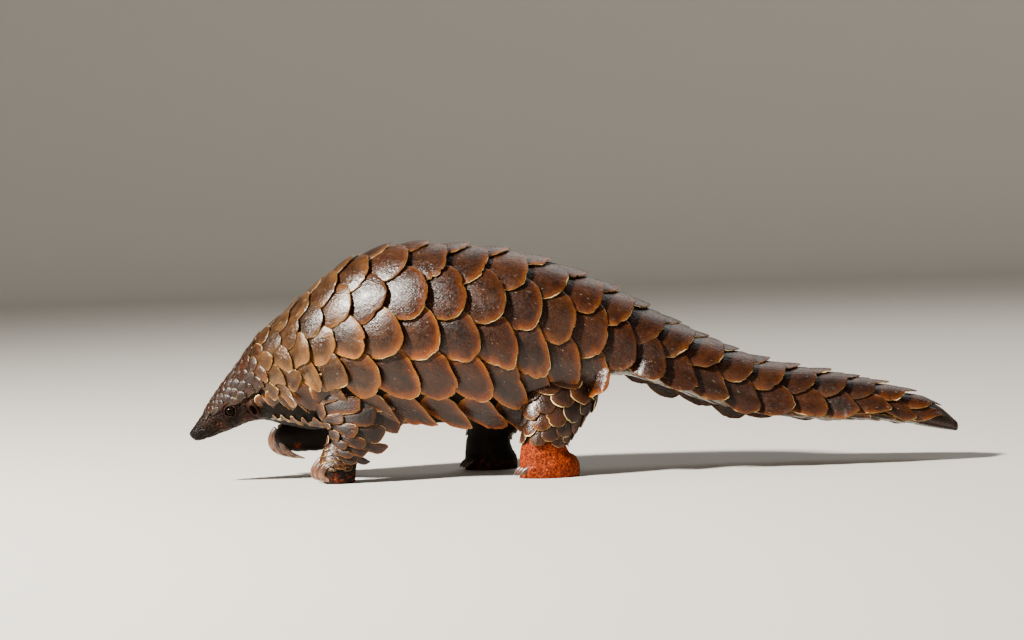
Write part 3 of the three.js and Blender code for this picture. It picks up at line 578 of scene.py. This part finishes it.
# The rings of a plate from its middle over its rim to its underside, as the share of the way to
# the rim and the share of its thickness below its face. The rear edge has more points.
PLATE_RINGS = ((0.25, 0), (0.5, 0), (0.7, 0), (0.85, 0), (0.94, 0.02), (0.975, 0.12), (1.0, 0.5),
               (0.99, 0.88), (0.9, 1), (0.5, 1))
REAR_POINTS, FRONT_POINTS, REAR_HALF_ANGLE = 50, 14, 112
FRONT_POWER, REAR_REACH = 1.9, 0.66
FULL_DEPTH, ROOT_SUNK, TIP_OVER = 8.5, 4.5, 1.2
TWIST, SKEW, SIZES_VARY, POWERS_VARY = 0.045, 0.12, 0.06, 0.14
# Bites out of the worn edge: how many, how wide and deep, and the share of them that shows.
BITES, BITE_WIDTHS, BITE_DEPTH, BITES_SHOWN = 5, (0.04, 0.2), 0.09, 0.55


def plate_faces(rings, turns):
    """Faces of one plate: a fan at the middle of its face, its rings and a fan underneath."""
    faces = []
    last = 1 + (rings - 1) * turns
    for i in range(turns):
        j = (i + 1) % turns
        faces.append((0, 1 + i, 1 + j))
        faces.append((last + j, last + i, last + turns))
        for r in range(rings - 1):
            a = 1 + r * turns
            faces.append((a + i, a + turns + i, a + turns + j, a + j))
    return faces


def plates(name, place_at, sites, spacing, rows, depth, looks, rear_power=2.3, wide=0.8, lean=0.0,
           droop=0.0, points=(REAR_POINTS, FRONT_POINTS), rings=PLATE_RINGS, thick=1.9, dome=0.28):
    """One piece of many plates. Sites are (count, row) of each; spacing, rows, depth, power of the
    rear edge, width, lean and droop of its corner go with them, and looks holds each one's tone,
    amber and paleness."""
    sites = np.array(sites, float)
    total = len(sites)
    spacing, rows, depth, rear_power, wide, lean, droop = (
        np.broadcast_to(v, total).astype(float)[:, None]
        for v in (spacing, rows, depth, rear_power, wide, lean, droop))
    half = np.radians(REAR_HALF_ANGLE)
    turn = np.concatenate([np.linspace(-half, half, points[0], endpoint=False),
                           np.linspace(half, 2 * pi - half, points[1], endpoint=False)])
    ring_share, ring_under = np.array(rings, float).T
    size = np.sqrt(spacing * rows)
    out_side = np.where(sites[:, 1:] < 0, -1, 1)

    def drawn(low, high):
        return rng.uniform(low, high, total)[:, None]

    def vary(spread):
        return 1 + drawn(-spread, spread)

    c, s = np.cos(turn)[None], np.sin(turn)[None]
    power = 2 / (rear_power * vary(POWERS_VARY))
    is_rear = c > 0
    tip_at = SCALE_LENGTH - 0.05
    heart = tip_at - REAR_REACH
    a = np.where(is_rear, REAR_REACH * np.abs(c) ** power, -heart * np.abs(c) ** (2 / FRONT_POWER))
    b = (np.sign(s) * wide * np.abs(s) ** np.where(is_rear, power, 2 / FRONT_POWER)
         * vary(SIZES_VARY))
    skew = drawn(-SKEW, SKEW) + droop * out_side
    a = a * vary(SIZES_VARY) * (1 + skew * s)
    twist = rng.normal(0, TWIST, total)[:, None]
    a, b = a - b * twist * rows / spacing, b + a * twist * spacing / rows
    # Wear: bites and a fine raggedness along the free edge.
    worn = np.zeros((total, len(turn)))
    for _ in range(BITES):
        at = drawn(-1.5, 1.5)
        width = drawn(*BITE_WIDTHS)
        deep = drawn(0, BITE_DEPTH) * (rng.random(total)[:, None] < BITES_SHOWN)
        worn -= deep * bump_at(turn - at, width)
    worn += np.where(is_rear, rng.normal(0, 0.008, worn.shape), 0)
    for waves in (3, 5, 9):
        worn += np.where(is_rear, 0.05 / waves, 0) * np.sin(turn * waves + drawn(0, 6))
    a, b = a * (1 + worn), b * (1 + worn)

    def over_plate(middle, on_rings):
        """A value at each point of every plate: its middle, its rings, its middle underneath."""
        return np.concatenate([middle, on_rings.reshape(total, -1), middle], 1)

    share = ring_share[None, :, None]
    none = np.zeros((total, 1))
    whole_a = over_plate(none, a[:, None] * share)
    whole_b = over_plate(none, b[:, None] * share)
    edge_mm = np.hypot(a * spacing, b * rows)
    rim = over_plate(edge_mm.mean(1)[:, None], (1 - share) * edge_mm[:, None])
    r = np.concatenate([[0], np.repeat(ring_share, len(turn)), [0]])[None]
    under = np.concatenate([[0], np.repeat(ring_under, len(turn)), [1]])[None]
    turns = np.concatenate([[0], np.tile(turn, len(rings)), [0]])[None]
    local = whole_a + heart
    full = depth / FULL_DEPTH
    rise = depth + (TIP_OVER + ROOT_SUNK) * full
    lift = -ROOT_SUNK * full + rise * local / tip_at
    lift += rng.normal(0, 0.08, total)[:, None] * depth * local
    lift += rng.normal(0, 0.07, total)[:, None] * depth * whole_b
    lift += dome * depth * (1 - r ** 2)
    phase = rng.uniform(0, 6, (2, total))[:, :, None]
    lift += 0.06 * depth * r ** 3 * np.sin(3 * turns + phase[0])
    lift += 0.04 * depth * r ** 6 * np.sin(8 * turns + phase[1])
    plate_thick = np.minimum(thick, 0.045 * size + 0.25) * (1.05 - 0.45 * r ** 2)
    lift -= under * plate_thick

    count = sites[:, :1] + local
    row = sites[:, 1:] + whole_b + lean * out_side * np.clip(local / SCALE_LENGTH, 0, 1) ** 1.5
    point, out = place_at(count.ravel(), row.ravel())
    point = point + out * lift.reshape(-1, 1)
    per_plate = whole_a.shape[1]
    one = plate_faces(len(rings), len(turn))
    faces = [tuple(start + i for i in face)
             for start in range(0, total * per_plate, per_plate) for face in one]
    piece = new_piece(name, point, faces, horn)
    mesh = piece.data
    set_values(mesh, "rim", rim)
    set_values(mesh, "outward", whole_b * out_side / wide)
    for key, values in looks.items():
        set_values(mesh, key, np.repeat(np.broadcast_to(values, total), per_plate))
    grain = np.stack([whole_a * spacing, whole_b * rows,
                      np.repeat(drawn(0, 400), per_plate, 1)], -1)
    set_values(mesh, "grain", grain, "FLOAT_VECTOR")

    # The baking map: a patch for each plate at its root's place on the unrolled coat. A plate's
    # face takes most of its patch and its underside a strip beside it.
    low, high = sites.min(0), sites.max(0) + 1
    fa = np.clip(local / (SCALE_LENGTH + 0.1), 0, 1)
    fb = np.clip(whole_b / (2.4 * wide) + 0.5, 0, 1)
    across = np.where(under > 0.5, 0.86 + 0.12 * fb, 0.02 + 0.8 * fb)
    uv = (sites[:, None] + np.stack([0.03 + 0.94 * fa, across], -1) - low) / (high - low)
    uv = (0.01 + 0.98 * uv.reshape(-1, 2)).astype(np.float32)
    corner = np.empty(len(mesh.loops), np.int32)
    mesh.loops.foreach_get("vertex_index", corner)
    mesh.uv_layers.new(name="OFBake").data.foreach_set("uv", uv[corner].ravel())
    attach(piece, "root")
    return piece


# Horn: dark brown in the middle, amber in an uneven band along the rim, partly the horn's own
# colour and partly painted light shining through the thin rim, stronger on the lower side; cream
# on the worn edge itself, partly wear and partly a painted highlight of the lit rim; with growth
# lines, crossed scoring and bright scratches, glossy and dull in turns.
horn = Finish("scale_horn")
grain = horn.value("grain", "Vector")
rim, tone, amber, pale = (horn.value(name) for name in ("rim", "tone", "amber", "pale"))
clouds = horn.noise(grain, 0.07, 5, 0.6)
mottle = horn.noise(grain, 0.26, 4, 0.65)
lines = horn.noise(grain, 1.0, 2, 0.5, (0.045, 0.62, 1))


def scoring(turned, scale):
    across = horn.add("Mapping", {"Vector": grain, "Rotation": (0, 0, turned)}).outputs[0]
    return horn.add("TexWave", {"Vector": across, "Scale": scale, "Distortion": 2.4, "Detail": 2,
                                "Detail Scale": 0.8},
                    wave_type="BANDS", bands_direction="X").outputs["Fac"]


scored = horn.times(scoring(0.95, 0.125), scoring(-0.8, 0.115))
scratches = horn.ramp(horn.noise(grain, 0.42, 2, 0.5, (0.3, 3.0, 1)), (0.72, 0.0), (0.76, 1.0))
shade = horn.scaled(tone, 0.5, horn.times(clouds, 0.75))
middle = horn.ramp(shade, (0.25, "0a0402"), (0.5, "1f0d04"), (0.75, "3a1b08"), (1.0, "5e3411"))
light = horn.ramp(shade, (0.2, "150c06"), (0.6, "362412"), (1.0, "705638"))
middle = horn.mix(horn.times(pale, 0.55), middle, light)
patches = horn.noise(grain, 0.055, 2, 0.5)
toward = horn.scaled(mottle, 12.0, horn.math("ADD", rim, -6.5))
toward = horn.scaled(patches, 46.0, horn.math("ADD", toward, -22.0))
# Painted glow: the amber band is made stronger on each plate's lower, outward side, as light
# shining through the thin horn.
painted_glow_low_side = horn.scaled(horn.value("outward"), 0.35, 0.8)
toward = horn.scaled(amber, -7.0, toward)
band = horn.ramp(horn.math("DIVIDE", toward, 20.0), (0.0, 1.0), (0.22, 0.55), (0.75, 0.0))
band = horn.times(band, horn.times(amber, painted_glow_low_side))
# The amber colours, brightest at the rim, are partly the horn's own and partly painted light
# shining through it.
warm = horn.ramp(horn.math("DIVIDE", rim, 14.0), (0.0, "f0b048"), (0.1, "ad5c10"), (0.4, "743508"),
                 (1.0, "3a1804"))
warm = horn.mix(horn.times(pale, 0.7), warm, "8e6c40")
surface = horn.mix(band, middle, warm)
ruled = horn.scaled(horn.times(lines, scored), 1.6, 0.3)
ruled = horn.math("MINIMUM", ruled, 1.0)
surface = horn.mix(horn.scaled(ruled, -0.65, 0.65), surface, "080402")
# The cream line along the rim is partly the worn edge's own colour and partly a painted highlight
# of the rim where it catches the light.
edge = horn.ramp(horn.scaled(patches, 2.0, horn.times(rim, 0.45)),
                 (0.75, 1.0), (1.05, 0.7), (1.55, 0.0))
edge = horn.times(edge, horn.math("MINIMUM", horn.times(amber, 8.0), 1.0))
surface = horn.mix(edge, surface, "ffe09a")
surface = horn.mix(horn.times(scratches, 0.5), surface, "d4c6aa")
relief = horn.bump(lines, 0.0008, 0.35)
relief = horn.bump(scored, 0.0003, 0.3, relief)
relief = horn.bump(mottle, 0.0016, 0.4, relief)
gloss = horn.ramp(mottle, (0.34, 0.17), (0.66, 0.4))
gloss = horn.times(gloss, horn.scaled(pale, -0.4, 1.0))
duller = horn.math("MAXIMUM", horn.scaled(tone, -0.7, 0.3), 0.0)
gloss = horn.math("ADD", gloss, duller)
horn.set(Base_Color=surface, Normal=relief, Roughness=gloss, Coat_Weight=0.04,
         Coat_Roughness=0.16, Specular_IOR_Level=0.34)


def coat_exists(count, row):
    spacing, edge = (np.interp(count + 0.5, coat_count, v) for v in (coat_row, coat_edge))
    return abs(row) * spacing <= edge + spacing * LAST_ROW_OVER


def rows_of(rows, scales, first=0.0):
    """Places (count, row) of scales in rows, every other row set back by half a scale."""
    return [(first + count + abs(row) % 2 / 2, row) for row in rows for count in range(scales)]


coat_end = coat_count[-1] + TAIL_END_OVER - SCALE_LENGTH
coat_sites = np.array([
    (count, row) for count, row in rows_of(range(-MOST_ROWS, MOST_ROWS + 1), MOST_SCALES,
                                           math.floor(coat_count[0]))
    if coat_count[0] <= count < coat_end and coat_exists(count, row)])
coat_stations = np.interp(coat_sites[:, 0] + 1, coat_count, coat_u)


def coat_looks(sites, stations):
    """Tone, amber and paleness: paler at the neck and shoulder, more amber low on the flanks."""
    low = np.abs(sites[:, 1]) / 5
    amber = 0.34 + 0.6 * step(low, 0.3, 0.75) - 0.16 * step(stations, 13, 16)
    amber *= 0.02 + 0.38 * step(stations, 5.2, 6.4) + 0.6 * step(stations, 6.5, 9.5)
    pale = step(stations, 10.8, 7.5) * step(stations, 5.2, 6.4) * (1 - 0.3 * low)
    tone = rng.normal(0.5, 0.1, len(sites)) - 0.2 * step(stations, 6, 5.2)
    return {"tone": np.clip(tone, 0, 1),
            "amber": np.clip(amber * rng.uniform(0.6, 1.4, len(sites)), 0, 1),
            "pale": np.clip(pale + rng.normal(0, 0.08, len(sites)), 0, 1)}


def coat_shape(sites, stations):
    """Broad round plates on the back, narrower pointed ones low on the flanks, leaning down."""
    row = np.abs(sites[:, 1])
    low = step(row, 1.5, 4) * step(stations, 5.5, 7)
    margin = step(stations, 14, 16.5) * step(row, 1.2, 2)
    low = np.maximum(low, margin)
    mid = step(row, 0.5, 2.5)
    spike = step(row, 4.2, 5) * step(stations, 8.4, 9.2) * step(stations, 12.6, 11.8)
    return {"rear_power": 2.3 - 0.25 * mid - 0.4 * low - 0.3 * spike,
            "wide": 0.79 - 0.17 * low - 0.17 * spike,
            "lean": 0.08 + 0.28 * low + rng.normal(0.22, 0.12, len(sites)) * spike,
            "droop": 0.14 * mid}


SMALL = {"points": (22, 8), "thick": 1.2, "dome": 0.6,
         "rings": ((0.4, 0), (0.75, 0), (0.93, 0.08), (1.0, 0.5), (0.9, 1))}
for name, low, high, nodes, extra in (
        ("head", 0, 5.6, ["head"], SMALL),
        ("neck", 5.6, 8, ["neck"], {"points": (36, 10)}),
        ("shoulders", 8, 10.2, ["torso_front"], {}),
        ("back", 10.2, 12.9, ["torso_front", "torso_rear"], {}),
        ("rump", 12.9, 16.3, ["torso_rear", "tail_1"], {}),
        ("tail_root", 16.3, 20, ["tail_1", "tail_2"], {}),
        ("tail_end", 20, 26, ["tail_3", "tail_4"], {})):
    chosen = (coat_stations >= low) & (coat_stations < high)
    sites, stations = coat_sites[chosen], coat_stations[chosen]
    piece = plates(f"scales_{name}", coat_place, sites, along(SCALE_SPACING, stations),
                   along(ROW_SPACING, stations), along(SCALE_DEPTH, stations),
                   coat_looks(sites, stations), **coat_shape(sites, stations), **extra)
    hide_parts(*nodes)

# Scales of the cheek and throat
# Behind each ear a row of narrow finger-like scales points down and back over the throat, and
# below it hang a few small drop-shaped ones.
THROAT_DEPTH = 3.0


def hanging(sign, first, pitch, turn_from, ahead, down, wide_ahead, wide_up):
    def place_at(count, row):
        nearest = np.round(row)
        over = row - nearest
        u = first + pitch * nearest + ahead * count + wide_ahead * over
        angle = turn_from + down * count - wide_up * over
        base = section(u, along(SCALE_DEPTH, u))
        point, lower = (outline(base, sign * np.radians(turned)) for turned in (angle, angle + 2))
        return point, unit(np.cross(base["plane"], lower - point)) * sign
    return place_at


for side, sign in (("left", 1), ("right", -1)):
    for kind, count, lattice, size, width, pale in (
            ("cheek", 5, (5.1, 0.72, 97, 0.62, 21, 0.5, 19), 20, 21, 0.2),
            ("throat", 6, (5.9, 0.52, 134, 0.1, 24, 0.3, 0), 16, 14, 0.1)):
        looks = {"tone": rng.uniform(0.4, 0.7, count), "amber": 0.5, "pale": pale}
        piece = plates(f"scales_{kind}_{side}", hanging(sign, *lattice),
                       [(0, row) for row in range(count)], size, width, THROAT_DEPTH, looks,
                       rear_power=2.6, wide=0.56, points=(30, 8), thick=1.4, dome=0.3)
        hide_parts("neck")

# Scales under the tail
# Flatter plates in five rows along the tail's underside, pointing back between its two margins.
UNDER_SPACING, UNDER_ROW = 30, 25
UNDER_ROWS, UNDER_FROM, UNDER_TO = range(-2, 3), 14.6, 24.3
under_u = np.linspace(UNDER_FROM, LAST, 200)
under_steps = norm(np.diff(skin_surface(under_u, np.full(200, pi)), axis=0), axis=1)
under_count = np.concatenate([[0], np.cumsum(under_steps / UNDER_SPACING)])


def tail_underside(count, row):
    u = np.interp(count, under_count, under_u)
    s = section(u, along(SCALE_DEPTH, u) + along(UNDER_SCALES, u) - 0.5)
    w = np.clip(np.abs(row) * UNDER_ROW / s["half"], 0, 0.93)
    angle = np.where(row < 0, -1, 1) * (pi - np.arcsin(w ** (s["lower"] / 2)))
    lean = s["side"] * (np.sign(row) * w ** 4 * 0.6)[:, None]
    return outline(s, angle), unit(lean - s["up"])


def under_exists(count, row):
    u = np.interp(count + 1, under_count, under_u)
    return u < UNDER_TO and abs(row) * UNDER_ROW < section(u)["half"] * 0.9


under_sites = [place for place in rows_of(UNDER_ROWS, MOST_SCALES) if under_exists(*place)]
under_looks = {"tone": rng.uniform(0.3, 0.7, len(under_sites)), "amber": 0.55, "pale": 0.25}
under_scales = plates("scales_under_tail", tail_underside, under_sites, UNDER_SPACING, UNDER_ROW,
                      2.6, under_looks, points=(30, 10))
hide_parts("tail_1", "tail_2", "tail_3", "tail_4")

# Tip of the tail
# The last scale wraps the end of the tail as a blunt cap of horn, its front edge under the others.
TIP_FROM, TIP_RISE, TIP_REACH = 23.2, (-0.2, -0.9), 4.5
TIP_SIDES, TIP_RINGS, TIP_ROUND = 60, 26, 10
u, angle = grid(np.linspace(TIP_FROM, LAST, TIP_RINGS), pi - circle(TIP_SIDES, 0.5))
tube = skin_surface(u, angle, np.linspace(*TIP_RISE, TIP_RINGS)[:, None] * along(SCALE_DEPTH, u))
middles = tube.mean(1, keepdims=True)
ahead = unit(middles[-1] - middles[-4])
closing = np.linspace(0, pi / 2 - 0.06, TIP_ROUND)[1:, None, None]
rounded = (middles[-1] + (tube[-1] - middles[-1]) * np.cos(closing)
           + ahead * TIP_REACH * np.sin(closing))
tube = np.concatenate([tube, rounded])
points, faces = closed_tube(tube)
tip = new_piece("scale_tail_tip", points, faces, horn)
along_tip, round_tip = grid(np.linspace(0, 45, len(tube)), np.linspace(0, 60, TIP_SIDES))
set_values(tip.data, "grain", np.stack([along_tip, round_tip, along_tip * 0], -1), "FLOAT_VECTOR")
for key, value in (("rim", 11), ("outward", 0), ("tone", 0.4), ("amber", 0.3), ("pale", 0)):
    set_values(tip.data, key, np.full(len(points), value))
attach(tip, "root")
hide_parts("tail_4")

# Scales of the legs
# On a foreleg narrow square-ended plates lie in rows and sweep back round its outer side, their
# ends standing free. On a hind leg and the lifted forearm rounder plates point down the limb.
# Angles round the leg at a row's start, from scale to scale and where scales leave the leg; and
# the share of its length at the first row, from row to row and the change of that.
SWEEP_FROM, SWEEP_STEP, SWEEP_FREE, SWEEP_SHORTER = -0.5, 1.1, 2.1, 0.004
SWEEP_ROWS = (0.04, 0.138, -0.003)
# The left foreleg's plates stand off its slim flesh, on a wider line.
SHEATH_LEFT = ((-260, -38, 118, 44, 20), (-259, -50, 92, 44, 22), (-258, -58, 64, 34, 21),
               (-265, -60, 42, 26, 19), (-272, -60, 26, 23, 17))
LEG_DEPTH = 4.5


def sweeping(stops, sign):
    first, each, less = SWEEP_ROWS

    def place_at(count, row):
        angle = SWEEP_FROM + count * SWEEP_STEP * (1 - SWEEP_SHORTER * row ** 2)
        held = np.minimum(angle, SWEEP_FREE)
        share = first + each * row + less * row ** 2
        point, out, round_ = limb_place(stops, share, sign * held)
        return point + round_ * (sign * (angle - held))[:, None], out
    return place_at


def down_limb(stops, sign, middle, row_angle, first, spacing):
    def place_at(count, row):
        return limb_place(stops, first + count * spacing, sign * (middle + row * row_angle))[:2]
    return place_at


def leg_looks(total, amber, pale, tone=0.32):
    return {"tone": np.clip(rng.normal(tone, 0.1, total), 0, 1),
            "amber": np.clip(rng.normal(amber, 0.1, total), 0.05, 1), "pale": pale}


LEG_PLATES = {"points": (30, 8), "thick": 1.5}
# The forelegs' plates take a near-black tone, 0.06, as painted shade, as if the head and trunk
# shaded them.
for name, stops, sign, rows in (
        ("foreleg_left", SHEATH_LEFT, -1, 9), ("foreleg_right", UPPER_ARM_RIGHT, 1, 7)):
    sites = rows_of(range(rows), 3, -0.4)
    piece = plates(f"scales_{name}", sweeping(stops, sign), sites, 38, 12.5, LEG_DEPTH,
                   leg_looks(len(sites), 0.25, 0.0, 0.06), rear_power=4.5, wide=0.62, lean=0.12,
                   **LEG_PLATES)
    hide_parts(name)
for name, stops, sign, middle, angle, rows, first, spacing, scales, node in (
        ("wrist_left", FOREFOOT_LEFT, -1, 0.8, 0.44, 3, -0.1, 0.13, 4, "forefoot_left"),
        ("wrist_right", FOREFOOT_RIGHT, 1, 0.9, 0.5, 2, 0.1, 0.13, 4, "forefoot_right"),
        ("hindleg_left", HINDLEG_LEFT, -1, 1.75, 0.5, 3, 0.06, 0.155, 4, "hindleg_left"),
        ("hindleg_right", HINDLEG_RIGHT, 1, 1.75, 0.5, 3, 0.06, 0.155, 4, "hindleg_right"),
        ("forearm_right", FOREARM_RIGHT, 1, 1.2, 0.6, 2, 0.1, 0.15, 5, "foreleg_right")):
    sites = rows_of(range(-rows, rows + 1), scales)
    size = (11, 9) if "wrist" in name else (18, 15)
    piece = plates(f"scales_{name}", down_limb(stops, sign, middle, angle, first, spacing), sites,
                   *size, LEG_DEPTH * size[0] / 22, leg_looks(len(sites), 0.22, 0.1), **LEG_PLATES)
    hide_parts(node)

# Claws and nails
# Three long horn claws on each forefoot, curled back under it, and five short blunt nails on each
# hind foot. Each grows from a toe and tapers along a bend.
CLAW_WIDTH, CLAW_SIDES, CLAW_RINGS = 0.8, 20, 36
# The three foreclaws: how far aside and how thick.
FORECLAWS = ((-11, 5.6 * 0.82), (0, 5.6), (11, 5.6 * 0.86))
CLAW_SPREAD, CLAW_ROOT_DEPTH, NAIL_RADIUS = 1.1, 4, 3.8
CLAW_TAPER = ((0, 0.9), (0.12, 1.0), (0.35, 0.95), (0.6, 0.8), (0.85, 0.47), (0.96, 0.25),
              (1, 0.1))


def claw_rings(root, bend, tip, radius):
    t = np.linspace(0, 1, CLAW_RINGS)[:, None]
    root, bend, tip = (np.array(v, float) for v in (root, bend, tip))
    root = root + unit(root - bend) * CLAW_ROOT_DEPTH
    line = root * (1 - t) ** 2 + 2 * bend * t * (1 - t) + tip * t ** 2
    forward = unit(np.gradient(line, axis=0))
    fore = unit(np.cross(ACROSS[None], forward))
    thick = np.interp(t[:, 0], *np.array(CLAW_TAPER).T) * radius
    turn = circle(CLAW_SIDES)
    ridge = 1 + 0.12 * np.maximum(np.cos(turn), 0) ** 3 - 0.1 * np.maximum(-np.cos(turn), 0)
    across = (np.sin(turn) * CLAW_WIDTH)[None, :, None] * ACROSS * thick[:, None, None]
    deep = (np.cos(turn) * ridge)[None, :, None] * fore[:, None] * thick[:, None, None]
    return line[:, None] + across + deep, np.repeat(t[:, 0], CLAW_SIDES)


claw = Finish("claw_horn")
shape = claw.value("reach")
place = claw.add("TexCoord").outputs["Object"]
streak = claw.noise(place, 420, 4, 0.6, (0.35, 1.6, 0.35))
claw_tone = claw.ramp(shape, (0.0, "1f0f07"), (0.2, "4d2b18"), (0.6, "85593d"), (1.0, "cda888"))
claw_tone = claw.mix(claw.ramp(streak, (0.42, 0.75), (0.6, 0.0)), claw_tone, "2e190f")
claw.set(Base_Color=claw_tone, Normal=claw.bump(streak, 0.0007, 0.6), Roughness=0.38,
         Coat_Weight=0.2, Coat_Roughness=0.25)
# Of each foot: the middle claw's place across, how far the others fan, and the root, bend and tip
# (x, z) of each.
for side, claw_y, fan, claw_line, nail_y, nail_line in (
        ("left", -60, -0.5, ((-290, 30), (-324, 4), (-282, 4)),
         -66, ((-60, 12), (-68, 10), (-73, 3))),
        ("right", 56, -0.7, ((-356, 54), (-374, 32), (-334, 22)),
         66, ((-126, 12), (-134, 10), (-139, 3)))):
    fore = [([(x + off * fan, claw_y + off * CLAW_SPREAD, z) for x, z in claw_line], radius)
            for off, radius in FORECLAWS]
    hind = [([(x + abs(off) * OUTER_BACK, nail_y + off, z) for x, z in nail_line], NAIL_RADIUS)
            for off in HIND_TOES]
    for kind, shapes, shade in (("foreclaw", fore, 1.0), ("hindnail", hind, 0.35)):
        rings, reach = zip(*(claw_rings(*bends, radius) for bends, radius in shapes))
        points, faces = joined(closed_tube(tube) for tube in rings)
        points[:, 2] = np.maximum(points[:, 2], 0.3)
        claws = new_piece(f"{kind}s_{side}", points, faces, claw)
        set_values(claws.data, "reach", np.concatenate(reach) * shade)
        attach(claws, "root")
        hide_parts(*(f"{kind}_{side}_{i + 1}" for i in range(len(shapes))))

# Eyes
# Small round wet eyes, nearly black, each one ball that bulges at its cornea, with a dark brown
# iris round the pupil, set between the lids.
eye_finish = Finish("wet_eye")
eye_tone = eye_finish.ramp(eye_finish.value("pupil"), (0.0, "020101"), (0.45, "020101"),
                           (0.6, "0c0603"), (0.9, "150b05"))
eye_finish.set(Base_Color=eye_tone, Roughness=0.03, Specular_IOR_Level=0.04)
for side, sign in (("left", 1), ("right", -1)):
    at, out, tailward, upward = face_frame(EYE_STATION, EYE_ANGLE, sign)
    centre = at - out * EYE_SUNK
    polar, turn = grid(np.linspace(0.02, pi - 0.02, 40), circle(56))
    radius = EYE_RADIUS * (1 + 0.07 * bump_at(polar, 0.55))
    ball = (out * (radius * np.cos(polar))[..., None]
            + tailward * (radius * np.sin(polar) * np.cos(turn))[..., None]
            + upward * (radius * np.sin(polar) * np.sin(turn))[..., None])
    eye = new_piece(f"eye_{side}_ball", *closed_tube(centre + ball), eye_finish)
    set_values(eye.data, "pupil", np.clip(polar / 0.8, 0, 1).ravel())
    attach(eye, "root")
    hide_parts(f"eye_{side}")

# Floor, light and camera
# A plain pale floor, flat round the animal and bent up far off into a wall on all sides. A small
# key lamp high on the left of the camera, a weak wide fill and a wide lamp behind light it.
floor_finish = Finish("studio_floor")
floor_finish.set(Base_Color=tint("c4c0b9"), Roughness=0.9)
FLOOR_FLAT, FLOOR_BEND, WALL_TOP, FLOOR_SIDES = 7.5, 2.0, 8.0, 96
bend = np.linspace(0.1, pi / 2, 14)
reach = np.concatenate([[0.5, FLOOR_FLAT], FLOOR_FLAT + FLOOR_BEND * np.sin(bend),
                        [FLOOR_FLAT + FLOOR_BEND]])
level = np.concatenate([[0, 0], FLOOR_BEND * (1 - np.cos(bend)), [WALL_TOP]])
turn = np.linspace(0, 2 * pi, FLOOR_SIDES + 1)[:-1, None]
rings = np.stack([reach * np.cos(turn), reach * np.sin(turn), level + 0 * turn], axis=-1) / MM
starts = np.arange(FLOOR_SIDES) * len(reach)
faces = [(a + k, b + k, b + k + 1, a + k + 1)
         for a, b in zip(starts, np.roll(starts, -1)) for k in range(len(reach) - 1)]
faces.append(tuple(starts[::-1]))
floor = new_piece("studio_floor", rings.reshape(-1, 3), faces, floor_finish)

TARGET = Vector((-0.0695, 0.0, 0.1836))


def aimed(thing, place):
    thing.location = place
    thing.rotation_euler = (TARGET - thing.location).to_track_quat("-Z", "Y").to_euler()
    bpy.context.collection.objects.link(thing)


for name, place, size, power, colour in (
        ("key", (-2.6, -1.3, 2.5), 0.4, 720, (1.0, 0.95, 0.86)),
        ("fill", (1.2, -3.2, 1.6), 2.4, 22, (1.0, 0.97, 0.93)),
        ("back", (0.8, 2.8, 3.2), 3.0, 55, (1.0, 0.97, 0.93))):
    light = bpy.data.lights.new(name, "AREA")
    light.energy = power
    light.size = size
    light.color = colour
    aimed(bpy.data.objects.new(name, light), place)
world = bpy.data.worlds.new("studio")
bpy.context.scene.world = world
world.use_nodes = True
sky = world.node_tree.nodes["Background"].inputs
sky["Color"].default_value = (0.9, 0.93, 1.0, 1)
sky["Strength"].default_value = 0.1

DISTANCE, ELEVATION, GROUND_TILT = 3.6, math.radians(2.3), math.radians(1.9)
lens = bpy.data.cameras.new("camera")
lens.lens = 105.5
lens.sensor_width = 36
camera = bpy.data.objects.new("camera", lens)
aimed(camera, TARGET + Vector((0, -math.cos(ELEVATION), math.sin(ELEVATION))) * DISTANCE)
camera.rotation_euler.rotate_axis("Z", -GROUND_TILT)
bpy.context.scene.camera = camera
